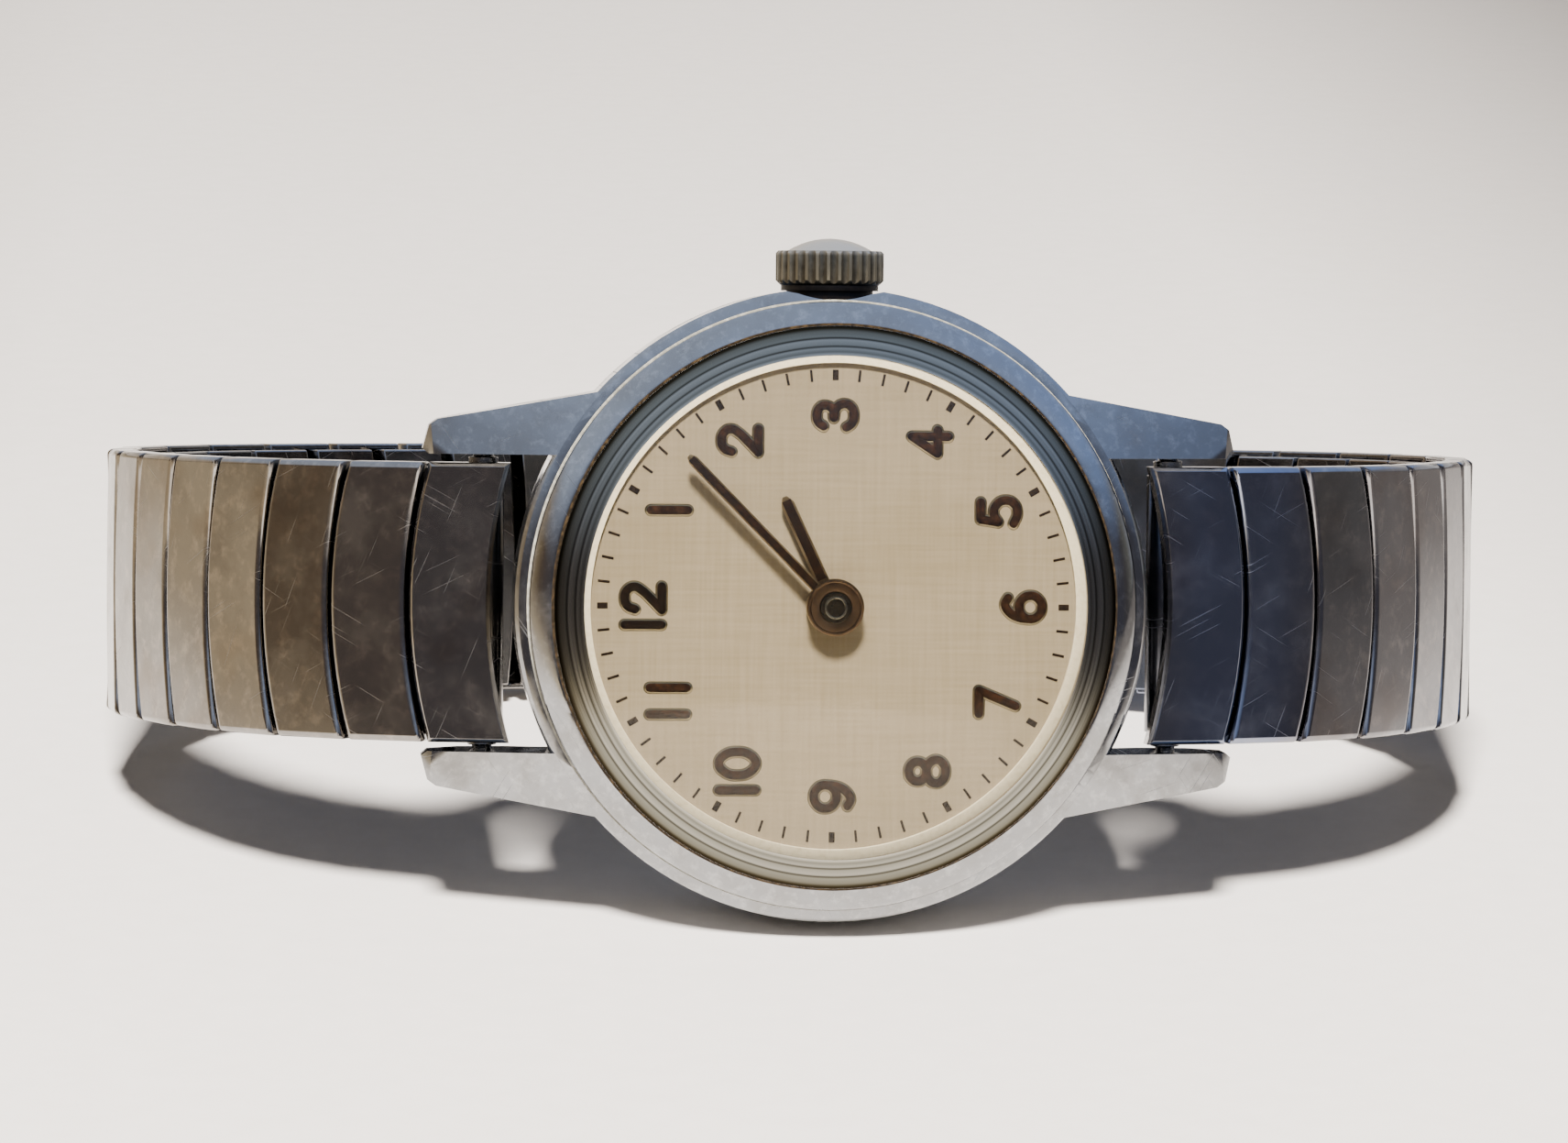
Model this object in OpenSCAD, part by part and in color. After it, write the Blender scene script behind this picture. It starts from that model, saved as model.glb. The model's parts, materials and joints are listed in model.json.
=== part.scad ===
// Small hand-wound wristwatch standing on its expansion bracelet, in millimetres.
// Every sub-part is drawn in the watch's own axes: +X runs to the crown, +Y to twelve o'clock and +Z out of the
// dial, with the outer face of the caseback at z = 0. stand() then leans the watch back on to the floor.

/* [Head] */
// Diameter of the domed crystal
crystal_d = 22.6; // [21.6:0.1:24]
// Height of the crystal's dome above its upright edge
dome_h = 1.3; // [1:0.05:1.7]
// Width of the polished bezel ring
bezel_w = 0.95; // [0.8:0.05:1.3]
// Width of the case flange outside the bezel
flange_w = 0.5; // [0.4:0.05:1]
// Thickness of the pressed caseback
back_t = 0.6; // [0.5:0.05:0.7]
// Space between the train bridge and the main plate
train_h = 2.1; // [2:0.05:2.4]
// Thickness of the dial
dial_t = 0.35; // [0.25:0.05:0.45]

/* [Lugs] */
// Gap between the two lugs of a pair, which is the strap width
lug_gap = 12; // [11:0.1:13]
// Distance from the case to the spring bar's axis
bar_gap = 1.2; // [1.1:0.05:1.6]
// Length of a lug past the spring bar's axis
lug_tip_l = 2.5; // [2:0.05:3]
// Width of a lug at its tip
lug_tip_w = 1.4; // [1.2:0.05:1.8]
// Width of a lug where it leaves the case
lug_root_w = 2.6; // [2.2:0.05:3]
// Slope of the flange and the lugs down from the bezel, in degrees
lug_slope = 14; // [10:1:18]

/* [Crown] */
// Diameter over the flutes
crown_d = 4.4; // [3.8:0.1:4.6]
// Height of the fluted skirt
crown_skirt_h = 1.4; // [1.2:0.05:1.8]
// Number of flutes
crown_flutes = 30; // [24:2:34]

/* [Hands] */
// Length of the minute hand from the centre
minute_hand_l = 8.45; // [7.5:0.05:9]
// Length of the hour hand from the centre
hour_hand_l = 4.85; // [4:0.05:5.6]
// Width of the minute hand
minute_hand_w = 0.42; // [0.36:0.02:0.6]
// Width of the hour hand
hour_hand_w = 0.54; // [0.44:0.02:0.7]
// Minute hand's angle clockwise from twelve
minute_angle = 45.5; // [0:0.5:360]
// Hour hand's angle clockwise from twelve
hour_angle = 65; // [0:0.5:360]

/* [Bracelet] */
// Clearance between the bracelet and each lug
band_play = 0.35; // [0.3:0.05:0.6]
// Radius of the bend beside the lugs
bend_near = 16; // [13.5:0.25:18]
// Radius of the bend along the sides of the loop
bend_side = 26.5; // [22:0.5:32]
// Radius of the bend into the back of the loop
bend_back = 14; // [13.5:0.25:17]
// Rise of the arc that the links' ends follow round the case
link_bow = 0.8; // [0.4:0.1:1.2]
// Depth of a top link
shell_h = 1.1; // [0.95:0.05:1.25]
// Depth of a bottom link
bottom_h = 0.9; // [0.8:0.05:1]

/* [Hidden] */
$fn = 48;

// Colours of the materials
chrome = [0.72, 0.73, 0.75];
steel = [0.6, 0.61, 0.63];
brass = [0.78, 0.64, 0.33];
nickel = [0.76, 0.75, 0.7];
rubber = [0.12, 0.12, 0.12];
cream = [0.88, 0.84, 0.72];
brown = [0.3, 0.2, 0.12];

// Clearances: running fit of pivots and sleeves, and the seam left round the bezel
run = 0.05;
seam = 0.05;

// Radii, worked outwards and inwards from the crystal
crystal_r = crystal_d / 2;
bezel_r = crystal_r + bezel_w;
case_r = bezel_r + seam + flange_w;
sight_r = crystal_r - 1.05;
dial_r = crystal_r - 0.5;
cavity_r = dial_r + run;
move_r = cavity_r - 0.85;
// Plan scale of the movement, drawn for a plate of 10 mm radius
k = move_r / 10;

// Levels, worked up from the caseback
winding_t = 0.45;
z_winding = back_t + 0.15;
z_bridge = z_winding + winding_t + run;
bridge_t = 0.7;
z_train = z_bridge + bridge_t;
z_plate = z_train + train_h;
plate_t = 0.8;
z_motion = z_plate + plate_t;
z_dial = z_motion + 0.7;
z_dial_top = z_dial + dial_t;
z_seat = z_dial_top + 0.3;
z_flange = z_dial_top - 0.3;
z_bezel_seat = z_flange - 0.4;
z_rim = back_t + 0.8;
z_heel = z_rim + 0.6;
z_stem = z_train + 0.75;
// A height in the train space, drawn for a space of 2.1 mm
function level(h) = z_train + h * train_h / 2.1;

// Lugs and spring bars
bar_y = case_r + bar_gap;
lug_reach = bar_y + lug_tip_l;
bar_r = 0.6;
tip_r = 0.4;
z_band = z_flange - 1.0;
bar_z = z_band - 2.3;

// Gear counts and modules
barrel_n = 72;
center_pinion_n = 12;
center_n = 64;
third_pinion_n = 8;
third_n = 60;
fourth_pinion_n = 8;
fourth_n = 70;
escape_pinion_n = 7;
escape_n = 15;
cannon_n = 12;
minute_n = 36;
minute_pinion_n = 10;
hour_n = 40;
winding_n = 14;
crown_wheel_n = 26;
ratchet_n = 24;
barrel_m = 0.12 * k;
center_m = 0.105 * k;
third_m = 0.09 * k;
fourth_m = 0.075 * k;
cannon_m = 0.125 * k;
hour_m = cannon_m * (cannon_n + minute_n) / (minute_pinion_n + hour_n);
ratchet_m = 0.2 * k;
function pitch_r(n, m) = n * m / 2;
function polar(r, a) = [r * cos(a), r * sin(a)];

// Directions from each arbor to the next, and the arbors' places in plan
barrel_a = 60;
third_a = 200;
fourth_a = 285;
escape_a = 335;
fork_a = 18;
balance_a = 8;
minute_a = -40;
barrel_p = polar(pitch_r(barrel_n + center_pinion_n, barrel_m), barrel_a);
third_p = polar(pitch_r(center_n + third_pinion_n, center_m), third_a);
fourth_p = third_p + polar(pitch_r(third_n + fourth_pinion_n, third_m), fourth_a);
escape_p = fourth_p + polar(pitch_r(fourth_n + escape_pinion_n, fourth_m), escape_a);
escape_r = 2.4 * k;
pallet_d = 2.45 * k;
fork_p = escape_p + polar(pallet_d, fork_a);
fork_l = 3.15 * k;
balance_p = fork_p + polar(fork_l, balance_a);
balance_r = 2.7 * k;
minute_p = polar(pitch_r(cannon_n + minute_n, cannon_m), minute_a);
winding_reach = pitch_r(crown_wheel_n + ratchet_n, ratchet_m);
crown_wheel_x = barrel_p[0] + sqrt(winding_reach * winding_reach - barrel_p[1] * barrel_p[1]);
crown_wheel_p = [crown_wheel_x, 0];
pinion_x = crown_wheel_x + pitch_r(crown_wheel_n, ratchet_m) - 0.16;
pinion_w = 0.8;
pinion_r = z_stem - (z_winding + winding_t) + 0.08;
// The click lies square to the ratchet's radius at its beak, just lifted out of the teeth
click_l = 2.6 * k;
click_bite = pitch_r(ratchet_n, ratchet_m) + ratchet_m + run;
click_p = barrel_p + polar(norm([click_bite, click_l]), 150);
beak_a = 150 - atan2(click_l, click_bite);
click_dir = beak_a - 90;
cock_foot = [1.6, -8.3] * k;
pillar_a = [25, 120, 185, 245];
pillar_r = 0.65 * k;
function pillar_p(i) = polar(8.9 * k, pillar_a[i]);

// Tooth phases, so that each tooth meets a gap. a is the direction from the driving wheel to the driven one.
function meshed(a, phase, n, driven_n) = a + 180 - (0.5 - (a - phase) * n / 360) * 360 / driven_n;
center_pinion_ph = meshed(barrel_a + 180, 0, barrel_n, center_pinion_n);
third_pinion_ph = meshed(third_a, 0, center_n, third_pinion_n);
fourth_pinion_ph = meshed(fourth_a, 0, third_n, fourth_pinion_n);
escape_pinion_ph = meshed(escape_a, 0, fourth_n, escape_pinion_n);
minute_ph = meshed(minute_a, 0, cannon_n, minute_n);
hour_ph = meshed(minute_a + 180, 0, minute_pinion_n, hour_n);
ratchet_ph = beak_a + 180 / ratchet_n;
crown_wheel_dir = atan2(crown_wheel_p[1] - barrel_p[1], crown_wheel_p[0] - barrel_p[0]);
crown_wheel_ph = meshed(crown_wheel_dir, ratchet_ph, ratchet_n, crown_wheel_n);
winding_ph = (crown_wheel_ph + 180 / crown_wheel_n) * crown_wheel_n / winding_n;

// Height of the sloping flange and lugs at a distance from the hands' axis
function flange_z(r) = z_flange - (r - bezel_r - seam) * tan(lug_slope);

// The crown stands just off the case, over a conical relief that reaches the bezel at the level of the flange
crown_gap = 0.1;
relief_slope = 1.1;
relief_r = crown_d / 2 + 0.2;
relief_x = bezel_r + seam - (z_flange - z_stem - relief_r) / relief_slope;

// Bore and shaft radii
pivot_r = 0.12;
arbor_r = 0.22;
center_r = 0.4;
cannon_r = 0.62;
hour_tube_r = 0.9;
stem_r = 0.45;
tube_r = 0.9;

// Hands
z_hour_hand = z_dial_top + 0.35;
z_minute_hand = z_hour_hand + 0.45;
hand_t = 0.18;
z_boss = z_minute_hand + 0.35;

// Crystal: an upright edge, then a dome that is part of a sphere and clears the tip of the minute hand
glass_t = 0.75;
hand_clear = 0.2;
dome_r = (crystal_r * crystal_r + dome_h * dome_h) / (2 * dome_h);
tip_room = sqrt(pow(dome_r - glass_t, 2) - minute_hand_l * minute_hand_l);
z_apex = z_minute_hand + hand_t + hand_clear + dome_r - tip_room;

// Bracelet: half the loop is four arcs from a lug to the middle of the back, given by their headings
band_w = lug_gap - 2 * band_play;
half_links = 19;
sheet = 0.28;
link_gap = 0.18;
link_bevel = 0.16;
headings = [5, 55, 80, 150, 180];
band_gap = 0.5;
band_y = case_r + band_gap;
side_y = band_y + bend_near * (sin(headings[1]) - sin(headings[0]))
    + bend_side * (sin(headings[2]) - sin(headings[1]))
    + bend_back * (sin(headings[3]) - sin(headings[2]));
bends = [bend_near, bend_side, bend_back, side_y / sin(headings[3])];
function arc_len(i) = bends[i] * (headings[i + 1] - headings[i]) * PI / 180;
function len_to(i) = i == 0 ? 0 : len_to(i - 1) + arc_len(i - 1);
function point_at(i) = i == 0
    ? [band_y, z_band]
    : point_at(i - 1) + bends[i - 1] * [sin(headings[i]) - sin(headings[i - 1]),
        cos(headings[i]) - cos(headings[i - 1])];
half_len = len_to(4);
pitch = half_len / half_links;
function arc_of(s) = s < len_to(1) ? 0 : s < len_to(2) ? 1 : s < len_to(3) ? 2 : 3;
function heading_at(s) = let (i = arc_of(s)) headings[i] + (s - len_to(i)) / bends[i] * 180 / PI;
function along(s) = let (i = arc_of(s), h = heading_at(s))
    point_at(i) + bends[i] * [sin(h) - sin(headings[i]), cos(h) - cos(headings[i])];
tightest = min(bend_near, bend_back);
function link_len(depth) = pitch * (1 - depth / tightest) - link_gap;
// Flat links on a bend rise towards their ends, so the layers keep this much apart
layer_gap = 0.06 + pow(link_len(shell_h), 2) / (8 * (tightest - shell_h));
floor_d = shell_h + layer_gap + bottom_h;
z_back = point_at(4)[1];
web_w = band_w * 0.6;
// The links' ends are arcs that flatten to this least rise at the middle of the back, where the halves meet
least_bow = 0.05;
function bow_at(s) = max(least_bow, link_bow * min(1, 2 - 2 * s / half_len));
function bow_r(bow) = (band_w * band_w / 4 + bow * bow) / (2 * bow);

// The watch leans back until the case's heel and the back of the bracelet both touch the floor
lean = atan((case_r - band_w / 2) / (z_heel - z_back - link_bevel));
rise = case_r * cos(lean) - z_heel * sin(lean);
front_y = -(z_apex - dome_r) * cos(lean) - dome_r;
rear_y = band_w / 2 * sin(lean) - z_back * cos(lean);
module stand() {
    translate([0, -(front_y + rear_y) / 2, rise])
        rotate([90 - lean, 0, 0])
            rotate([0, 0, 90])
                children();
}

// Moves children to a place in plan
module at(p, z = 0) {
    translate([p[0], p[1], z])
        children();
}

// Turns children drawn along +Z so that they run along the winding stem, starting at x
module on_stem(x) {
    translate([x, 0, z_stem])
        rotate([0, 90, 0])
            children();
}

// A straight bar with round ends between two places in plan
module bar2d(p, q, w) {
    d = q - p;
    translate(p)
        rotate(atan2(d[1], d[0])) {
            translate([0, -w / 2])
                square([norm(d), w]);
            circle(d = w);
            translate([norm(d), 0])
                circle(d = w);
        }
}

// Outline of a toothed wheel
module gear2d(n, m, phase = 0) {
    tooth = [[-0.34, -1.2], [-0.13, 0.85], [0.13, 0.85], [0.34, -1.2]];
    polygon([for (i = [0:n - 1]) for (t = tooth) polar(n * m / 2 + t[1] * m, phase + (i + t[0]) * 360 / n)]);
}

// A wheel with its rim left standing on four spokes
module spoked_wheel(n, m, t, bore, phase = 0) {
    rim = pitch_r(n, m) - 3.2 * m;
    hub = bore + 0.35 * k;
    linear_extrude(t)
        difference() {
            gear2d(n, m, phase);
            circle(bore);
            difference() {
                circle(rim);
                circle(hub);
                for (a = [0, 90])
                    rotate(a)
                        square([2 * rim + 1, 0.36 * k], center = true);
            }
        }
}

module pinion(n, m, t, phase = 0) {
    linear_extrude(t)
        gear2d(n, m, phase);
}

module ring(ro, ri, h) {
    linear_extrude(h)
        difference() {
            circle(ro);
            circle(ri);
        }
}

// An arbor between the bridge and the main plate, with a pivot at each end
module train_arbor() {
    translate([0, 0, z_train + run])
        cylinder(r = arbor_r, h = train_h - 2 * run);
    translate([0, 0, z_train - 0.5])
        cylinder(r = pivot_r, h = train_h + 1);
}

// Ribbon wound from an inner to an outer radius
module spiral(r0, r1, turns, w, h) {
    steps = turns * 20;
    function r(i) = r0 + (r1 - r0) * i / steps;
    linear_extrude(h)
        polygon(concat(
            [for (i = [0:steps]) polar(r(i) + w / 2, i * 18)],
            [for (i = [steps:-1:0]) polar(r(i) - w / 2, i * 18)]));
}

// CASE

// One lug, in the quarter between the crown and twelve o'clock
module lug() {
    x0 = lug_gap / 2;
    y0 = case_r * 0.6;
    far_r = lug_reach + lug_root_w + 1;
    tip_z = flange_z(norm([x0, lug_reach]));
    difference() {
        intersection() {
            linear_extrude(z_flange + 1)
                polygon([[x0, y0], [x0, lug_reach - 0.25], [x0 + 0.2, lug_reach],
                    [x0 + lug_tip_w - 0.25, lug_reach - 0.25], [x0 + lug_tip_w, lug_reach - 0.6],
                    [x0 + lug_root_w, case_r * 0.72], [x0 + lug_root_w, y0]]);
            rotate([90, 0, 90])
                linear_extrude(x0 + lug_root_w + 1)
                    polygon([[y0, z_rim + 0.1], [bar_y - 2.2, z_rim + 0.1], [bar_y - 1, bar_z - 1.15],
                        [bar_y + 1, bar_z - 1.05], [lug_reach, bar_z + 0.3], [lug_reach, tip_z - 0.5],
                        [lug_reach - 0.5, tip_z + 0.2], [lug_reach - 0.5, z_flange + 1], [y0, z_flange + 1]]);
            rotate_extrude()
                polygon([[y0, 0], [far_r, 0], [far_r, flange_z(far_r)], [y0, flange_z(y0)]]);
        }
        translate([0, 0, -1])
            cylinder(r = case_r - 0.5, h = z_flange + 3);
        translate([x0 - 0.5, bar_y, bar_z])
            rotate([0, 90, 0])
                cylinder(r = tip_r, h = 1.3);
    }
}

module case_body() {
    flange_edge = 0.15;
    color(chrome)
        stand() {
            difference() {
                union() {
                    rotate_extrude()
                        polygon([[cavity_r, z_rim], [case_r - 0.6, z_rim], [case_r, z_heel],
                            [case_r, flange_z(case_r) - flange_edge],
                            [case_r - flange_edge, flange_z(case_r - flange_edge)], [bezel_r + seam, z_flange],
                            [bezel_r + seam, z_bezel_seat], [crystal_r, z_bezel_seat], [crystal_r, z_seat],
                            [sight_r, z_seat], [sight_r, z_dial_top], [cavity_r, z_dial_top]]);
                    for (a = [0, 1], b = [0, 1])
                        mirror([a, 0, 0])
                            mirror([0, b, 0])
                                lug();
                }
                translate([0, 0, z_rim - 1])
                    ring(cavity_r + 0.85, cavity_r + 0.45, 1.3);
                on_stem(cavity_r - 1)
                    cylinder(r = tube_r, h = 4);
                on_stem(relief_x)
                    cylinder(r1 = relief_r, r2 = relief_r + 2 * relief_slope, h = 2);
            }
        }
}

module bezel() {
    color(chrome)
        stand()
            rotate_extrude()
                intersection() {
                    translate([crystal_r, z_bezel_seat])
                        square([bezel_w, 3]);
                    translate([crystal_r - 0.2, z_bezel_seat + 0.4])
                        circle(bezel_w + 0.4);
                }
}

module crystal() {
    color([0.85, 0.88, 0.88, 0.35])
        stand()
            difference() {
                intersection() {
                    translate([0, 0, z_seat])
                        cylinder(r = crystal_r, h = z_apex);
                    translate([0, 0, z_apex - dome_r])
                        sphere(dome_r);
                }
                intersection() {
                    translate([0, 0, z_seat - 1])
                        cylinder(r = sight_r + 0.1, h = z_apex);
                    translate([0, 0, z_apex - dome_r])
                        sphere(dome_r - glass_t);
                }
            }
}

// Pressed back with a flat face, a flared shoulder and a lip that snaps into the case
module caseback() {
    color(steel)
        stand()
            rotate_extrude()
                polygon([[0, 0], [cavity_r - 1.2, 0], [cavity_r + 0.7, z_rim - 0.5], [case_r - 0.75, z_rim - 0.5],
                    [case_r - 0.6, z_rim - 0.35], [case_r - 0.6, z_rim], [cavity_r, z_rim],
                    [cavity_r, z_rim + 0.6], [cavity_r - 0.5, z_rim + 0.6], [cavity_r - 0.5, z_rim - 0.15],
                    [cavity_r - 1.3, back_t], [0, back_t]]);
}

module caseback_gasket() {
    color(rubber)
        stand()
            translate([0, 0, z_rim])
                ring(cavity_r + 0.85, cavity_r + 0.45, 0.3);
}

module crown_tube() {
    color(brass)
        stand()
            on_stem(cavity_r)
                ring(tube_r, stem_r + run, case_r - cavity_r + 0.75);
}

// Ring that holds the movement from its edge and carries the dial
module movement_ring() {
    color(nickel)
        stand()
            difference() {
                rotate_extrude()
                    polygon([[move_r, z_rim + 0.6], [cavity_r, z_rim + 0.6], [cavity_r, z_dial],
                        [move_r - 0.5, z_dial], [move_r - 0.5, z_motion], [move_r, z_motion]]);
                on_stem(move_r - 2)
                    cylinder(r = stem_r + 0.15, h = 4);
            }
}

module dial() {
    color(cream)
        stand() {
            translate([0, 0, z_dial])
                ring(dial_r, hour_tube_r + 0.1, dial_t);
            for (a = [75, 255])
                at(polar(8.9 * k, a), z_plate + 0.2)
                    cylinder(r = 0.35, h = z_dial - z_plate - 0.2);
        }
}

// MOVEMENT FRAME

module main_plate() {
    color(brass)
        stand()
            difference() {
                union() {
                    translate([0, 0, z_plate])
                        cylinder(r = move_r, h = plate_t);
                    translate([8.4 * k, -0.95, z_train + run])
                        cube([1.1 * k, 1.9, train_h]);
                    at(minute_p, z_motion)
                        cylinder(r = 0.3, h = 0.6);
                }
                translate([0, 0, z_plate - 1])
                    cylinder(r = center_r + run, h = 3);
                at(barrel_p, z_plate - 1)
                    cylinder(r = 0.45 + run, h = 3);
                for (p = [third_p, fourth_p, escape_p, fork_p, balance_p])
                    at(p, z_plate - 1)
                        cylinder(r = pivot_r + run, h = 3);
                for (a = [75, 255])
                    at(polar(8.9 * k, a), z_plate - 1)
                        cylinder(r = 0.35, h = 3);
                on_stem(5 * k)
                    cylinder(r = stem_r + run, h = 6 * k);
                on_stem(pinion_x - 0.2)
                    cylinder(r = pinion_r + 0.2, h = pinion_w + 0.4);
            }
}

// Turned pillars between the main plate and the bridge, and the one under the balance cock
module pillars() {
    color(brass)
        stand()
            for (p = concat([for (i = [0:3]) pillar_p(i)], [cock_foot]))
                at(p, z_train)
                    difference() {
                        union() {
                            cylinder(r = pillar_r, h = train_h);
                            translate([0, 0, train_h * 0.35])
                                cylinder(r = pillar_r + 0.12, h = train_h * 0.3);
                        }
                        translate([0, 0, -1])
                            cylinder(r = 0.3, h = 2);
                    }
}

module train_bridge() {
    color(brass)
        stand()
            difference() {
                union() {
                    translate([0, 0, z_bridge])
                        linear_extrude(bridge_t)
                            difference() {
                                circle(9.75 * k);
                                at(balance_p)
                                    circle(2.7 * k);
                                bar2d(cock_foot, balance_p, 2.7 * k);
                                at(cock_foot + [0, -1])
                                    square(2.7 * k, center = true);
                                translate([pinion_x - 0.2, -1.6])
                                    square([pinion_w + 0.4, 3.2]);
                            }
                    at(crown_wheel_p, z_winding - 0.05)
                        cylinder(r = 0.7, h = winding_t + 0.2);
                    at(click_p, z_winding - 0.05)
                        cylinder(r = 0.3, h = winding_t + 0.2);
                }
                at(barrel_p, z_bridge - 1)
                    cylinder(r = 0.6 + run, h = 3);
                for (p = [[0, 0], third_p, fourth_p, escape_p, fork_p])
                    at(p, z_bridge - 1)
                        cylinder(r = pivot_r + run, h = 3);
                for (i = [0:3])
                    at(pillar_p(i), z_bridge - 1)
                        cylinder(r = 0.3, h = 3);
            }
}

module balance_cock() {
    color(brass)
        stand()
            difference() {
                union() {
                    translate([0, 0, z_bridge])
                        linear_extrude(bridge_t) {
                            bar2d(cock_foot, balance_p, 2.3 * k);
                            at(balance_p)
                                circle(1.7 * k);
                        }
                    at(balance_p + polar(1.68 * k, 0), z_bridge)
                        cylinder(r = 0.14, h = level(0.33) - z_bridge);
                }
                at(balance_p, z_bridge - 1)
                    cylinder(r = pivot_r + run, h = 3);
                at(cock_foot, z_bridge - 1)
                    cylinder(r = 0.3, h = 3);
            }
}

// Slotted screws of the bridge and the cock
module bridge_screws() {
    color(steel)
        stand()
            for (p = concat([for (i = [0:3]) pillar_p(i)], [cock_foot]))
                at(p, z_bridge - 0.4)
                    difference() {
                        union() {
                            cylinder(r = 0.55, h = 0.4);
                            cylinder(r = 0.3, h = bridge_t + 1.3);
                        }
                        cube([2, 0.16, 0.3], center = true);
                    }
}

// WINDING WORK

module crown() {
    base_x = case_r + crown_gap;
    cap_h = 0.5;
    cap_r = crown_d * 0.39;
    cap_ball = (cap_r * cap_r + cap_h * cap_h) / (2 * cap_h);
    rim = 0.2;
    color(nickel)
        stand()
            on_stem(base_x)
                difference() {
                    union() {
                        difference() {
                            rotate_extrude()
                                polygon([[0, 0], [crown_d / 2 - rim, 0], [crown_d / 2, rim],
                                    [crown_d / 2, crown_skirt_h - rim / 2], [crown_d / 2 - rim / 2, crown_skirt_h],
                                    [0, crown_skirt_h]]);
                            for (i = [0:crown_flutes - 1])
                                rotate(i * 360 / crown_flutes)
                                    translate([crown_d / 2 + 0.04, 0, -1])
                                        cylinder(r = 0.17, h = crown_skirt_h + 2);
                        }
                        intersection() {
                            translate([0, 0, crown_skirt_h - 0.1])
                                cylinder(d = crown_d, h = cap_h + 0.1);
                            translate([0, 0, crown_skirt_h + cap_h - cap_ball])
                                sphere(cap_ball);
                        }
                    }
                    translate([0, 0, -1])
                        cylinder(r = tube_r + 0.45, h = 1.8);
                    translate([0, 0, -1])
                        cylinder(r = stem_r, h = crown_skirt_h + 0.8);
                }
}

module crown_gasket() {
    color(rubber)
        stand()
            on_stem(case_r + crown_gap + 0.1)
                ring(tube_r + 0.45, tube_r + run, 0.35);
}

module stem() {
    color(steel)
        stand()
            on_stem(pinion_x - 1.6)
                cylinder(r = stem_r, h = case_r + crown_gap - 0.2 + crown_skirt_h - pinion_x + 1.6);
}

module winding_pinion() {
    color(steel)
        stand()
            on_stem(pinion_x)
                difference() {
                    pinion(winding_n, 2 * pinion_r / (winding_n + 1.7), pinion_w, winding_ph);
                    translate([0, 0, -1])
                        cylinder(r = stem_r + run, h = pinion_w + 2);
                }
}

module crown_wheel() {
    color(steel)
        stand()
            at(crown_wheel_p, z_winding)
                difference() {
                    pinion(crown_wheel_n, ratchet_m, winding_t, crown_wheel_ph);
                    translate([0, 0, -1])
                        cylinder(r = 0.7 + run, h = 3);
                }
}

module ratchet_wheel() {
    color(steel)
        stand()
            at(barrel_p, z_winding)
                difference() {
                    pinion(ratchet_n, ratchet_m, winding_t, ratchet_ph);
                    translate([0, 0, -1])
                        cylinder(r = 0.5, h = 3);
                }
}

module barrel_arbor() {
    color(steel)
        stand()
            at(barrel_p) {
                translate([0, 0, z_winding])
                    cylinder(r = 0.5, h = winding_t + run);
                translate([0, 0, z_winding + winding_t])
                    cylinder(r = 0.6, h = level(0.3) - z_winding - winding_t);
                translate([0, 0, level(0.3)])
                    cylinder(r = 0.75, h = level(2) - level(0.3));
                translate([0, 0, level(2)])
                    cylinder(r = 0.45, h = z_plate + 0.6 - level(2));
            }
}

// Pawl that lets the ratchet turn one way, drawn with its beak towards +X
module click() {
    color(steel)
        stand()
            at(click_p, z_winding + 0.12)
                rotate(click_dir)
                    linear_extrude(0.2)
                        difference() {
                            polygon([[-0.7, -0.2], [-0.45, -0.55], [0, -0.65], [0.6, -0.5], [1.6, -0.18],
                                [2.1, -0.05], [2.6, 0], [2.1, 0.2], [0.6, 0.5], [0, 0.65], [-0.45, 0.55],
                                [-0.7, 0.2]] * k);
                            circle(0.3 + run);
                        }
}

// Flat spring pinned to the bridge, bearing on the click's outer side
module click_spring() {
    bears = click_p + k * (2 * polar(1, click_dir) + 0.33 * polar(1, click_dir + 90));
    foot = bears + polar(2.4 * k, click_dir + 160);
    color(steel)
        stand() {
            translate([0, 0, z_winding + 0.12])
                linear_extrude(0.25) {
                    bar2d(foot, bears, 0.12);
                    at(foot)
                        circle(0.45);
                }
            at(foot, z_winding + 0.12)
                cylinder(r = 0.3, h = z_bridge - z_winding - 0.12);
        }
}

// POWER AND TRAIN

module barrel_drum() {
    color(brass)
        stand()
            at(barrel_p)
                difference() {
                    union() {
                        translate([0, 0, level(0.5)])
                            cylinder(r = 4.05 * k, h = level(2) - level(0.5));
                        translate([0, 0, level(1.6)])
                            pinion(barrel_n, barrel_m, level(1.9) - level(1.6), barrel_a + 180);
                    }
                    translate([0, 0, level(0.62)])
                        cylinder(r = 3.8 * k, h = level(1.88) - level(0.62));
                    translate([0, 0, level(0)])
                        cylinder(r = 0.75 + run, h = train_h);
                }
}

module mainspring() {
    color(steel)
        stand()
            at(barrel_p, level(0.7))
                spiral(0.9, 3.72 * k, 9, 0.12, level(1.8) - level(0.7));
}

module center_arbor() {
    color(steel)
        stand() {
            translate([0, 0, z_train + run])
                cylinder(r = center_r, h = z_minute_hand - z_train);
            translate([0, 0, z_train - 0.5])
                cylinder(r = pivot_r, h = 1);
            translate([0, 0, level(1.55)])
                pinion(center_pinion_n, barrel_m, level(2) - level(1.55), center_pinion_ph);
        }
}

module center_wheel() {
    color(brass)
        stand()
            translate([0, 0, level(0.15)])
                spoked_wheel(center_n, center_m, 0.2, center_r, 0);
}

// A train wheel riveted to its pinion's arbor
module train_wheel(p, n, m, z, pinion_n, pinion_m, z0, z1, phase) {
    stand()
        at(p) {
            color(steel) {
                train_arbor();
                translate([0, 0, z0])
                    pinion(pinion_n, pinion_m, z1 - z0, phase);
            }
            color(brass)
                translate([0, 0, z])
                    spoked_wheel(n, m, 0.2, arbor_r, 0);
        }
}

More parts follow.
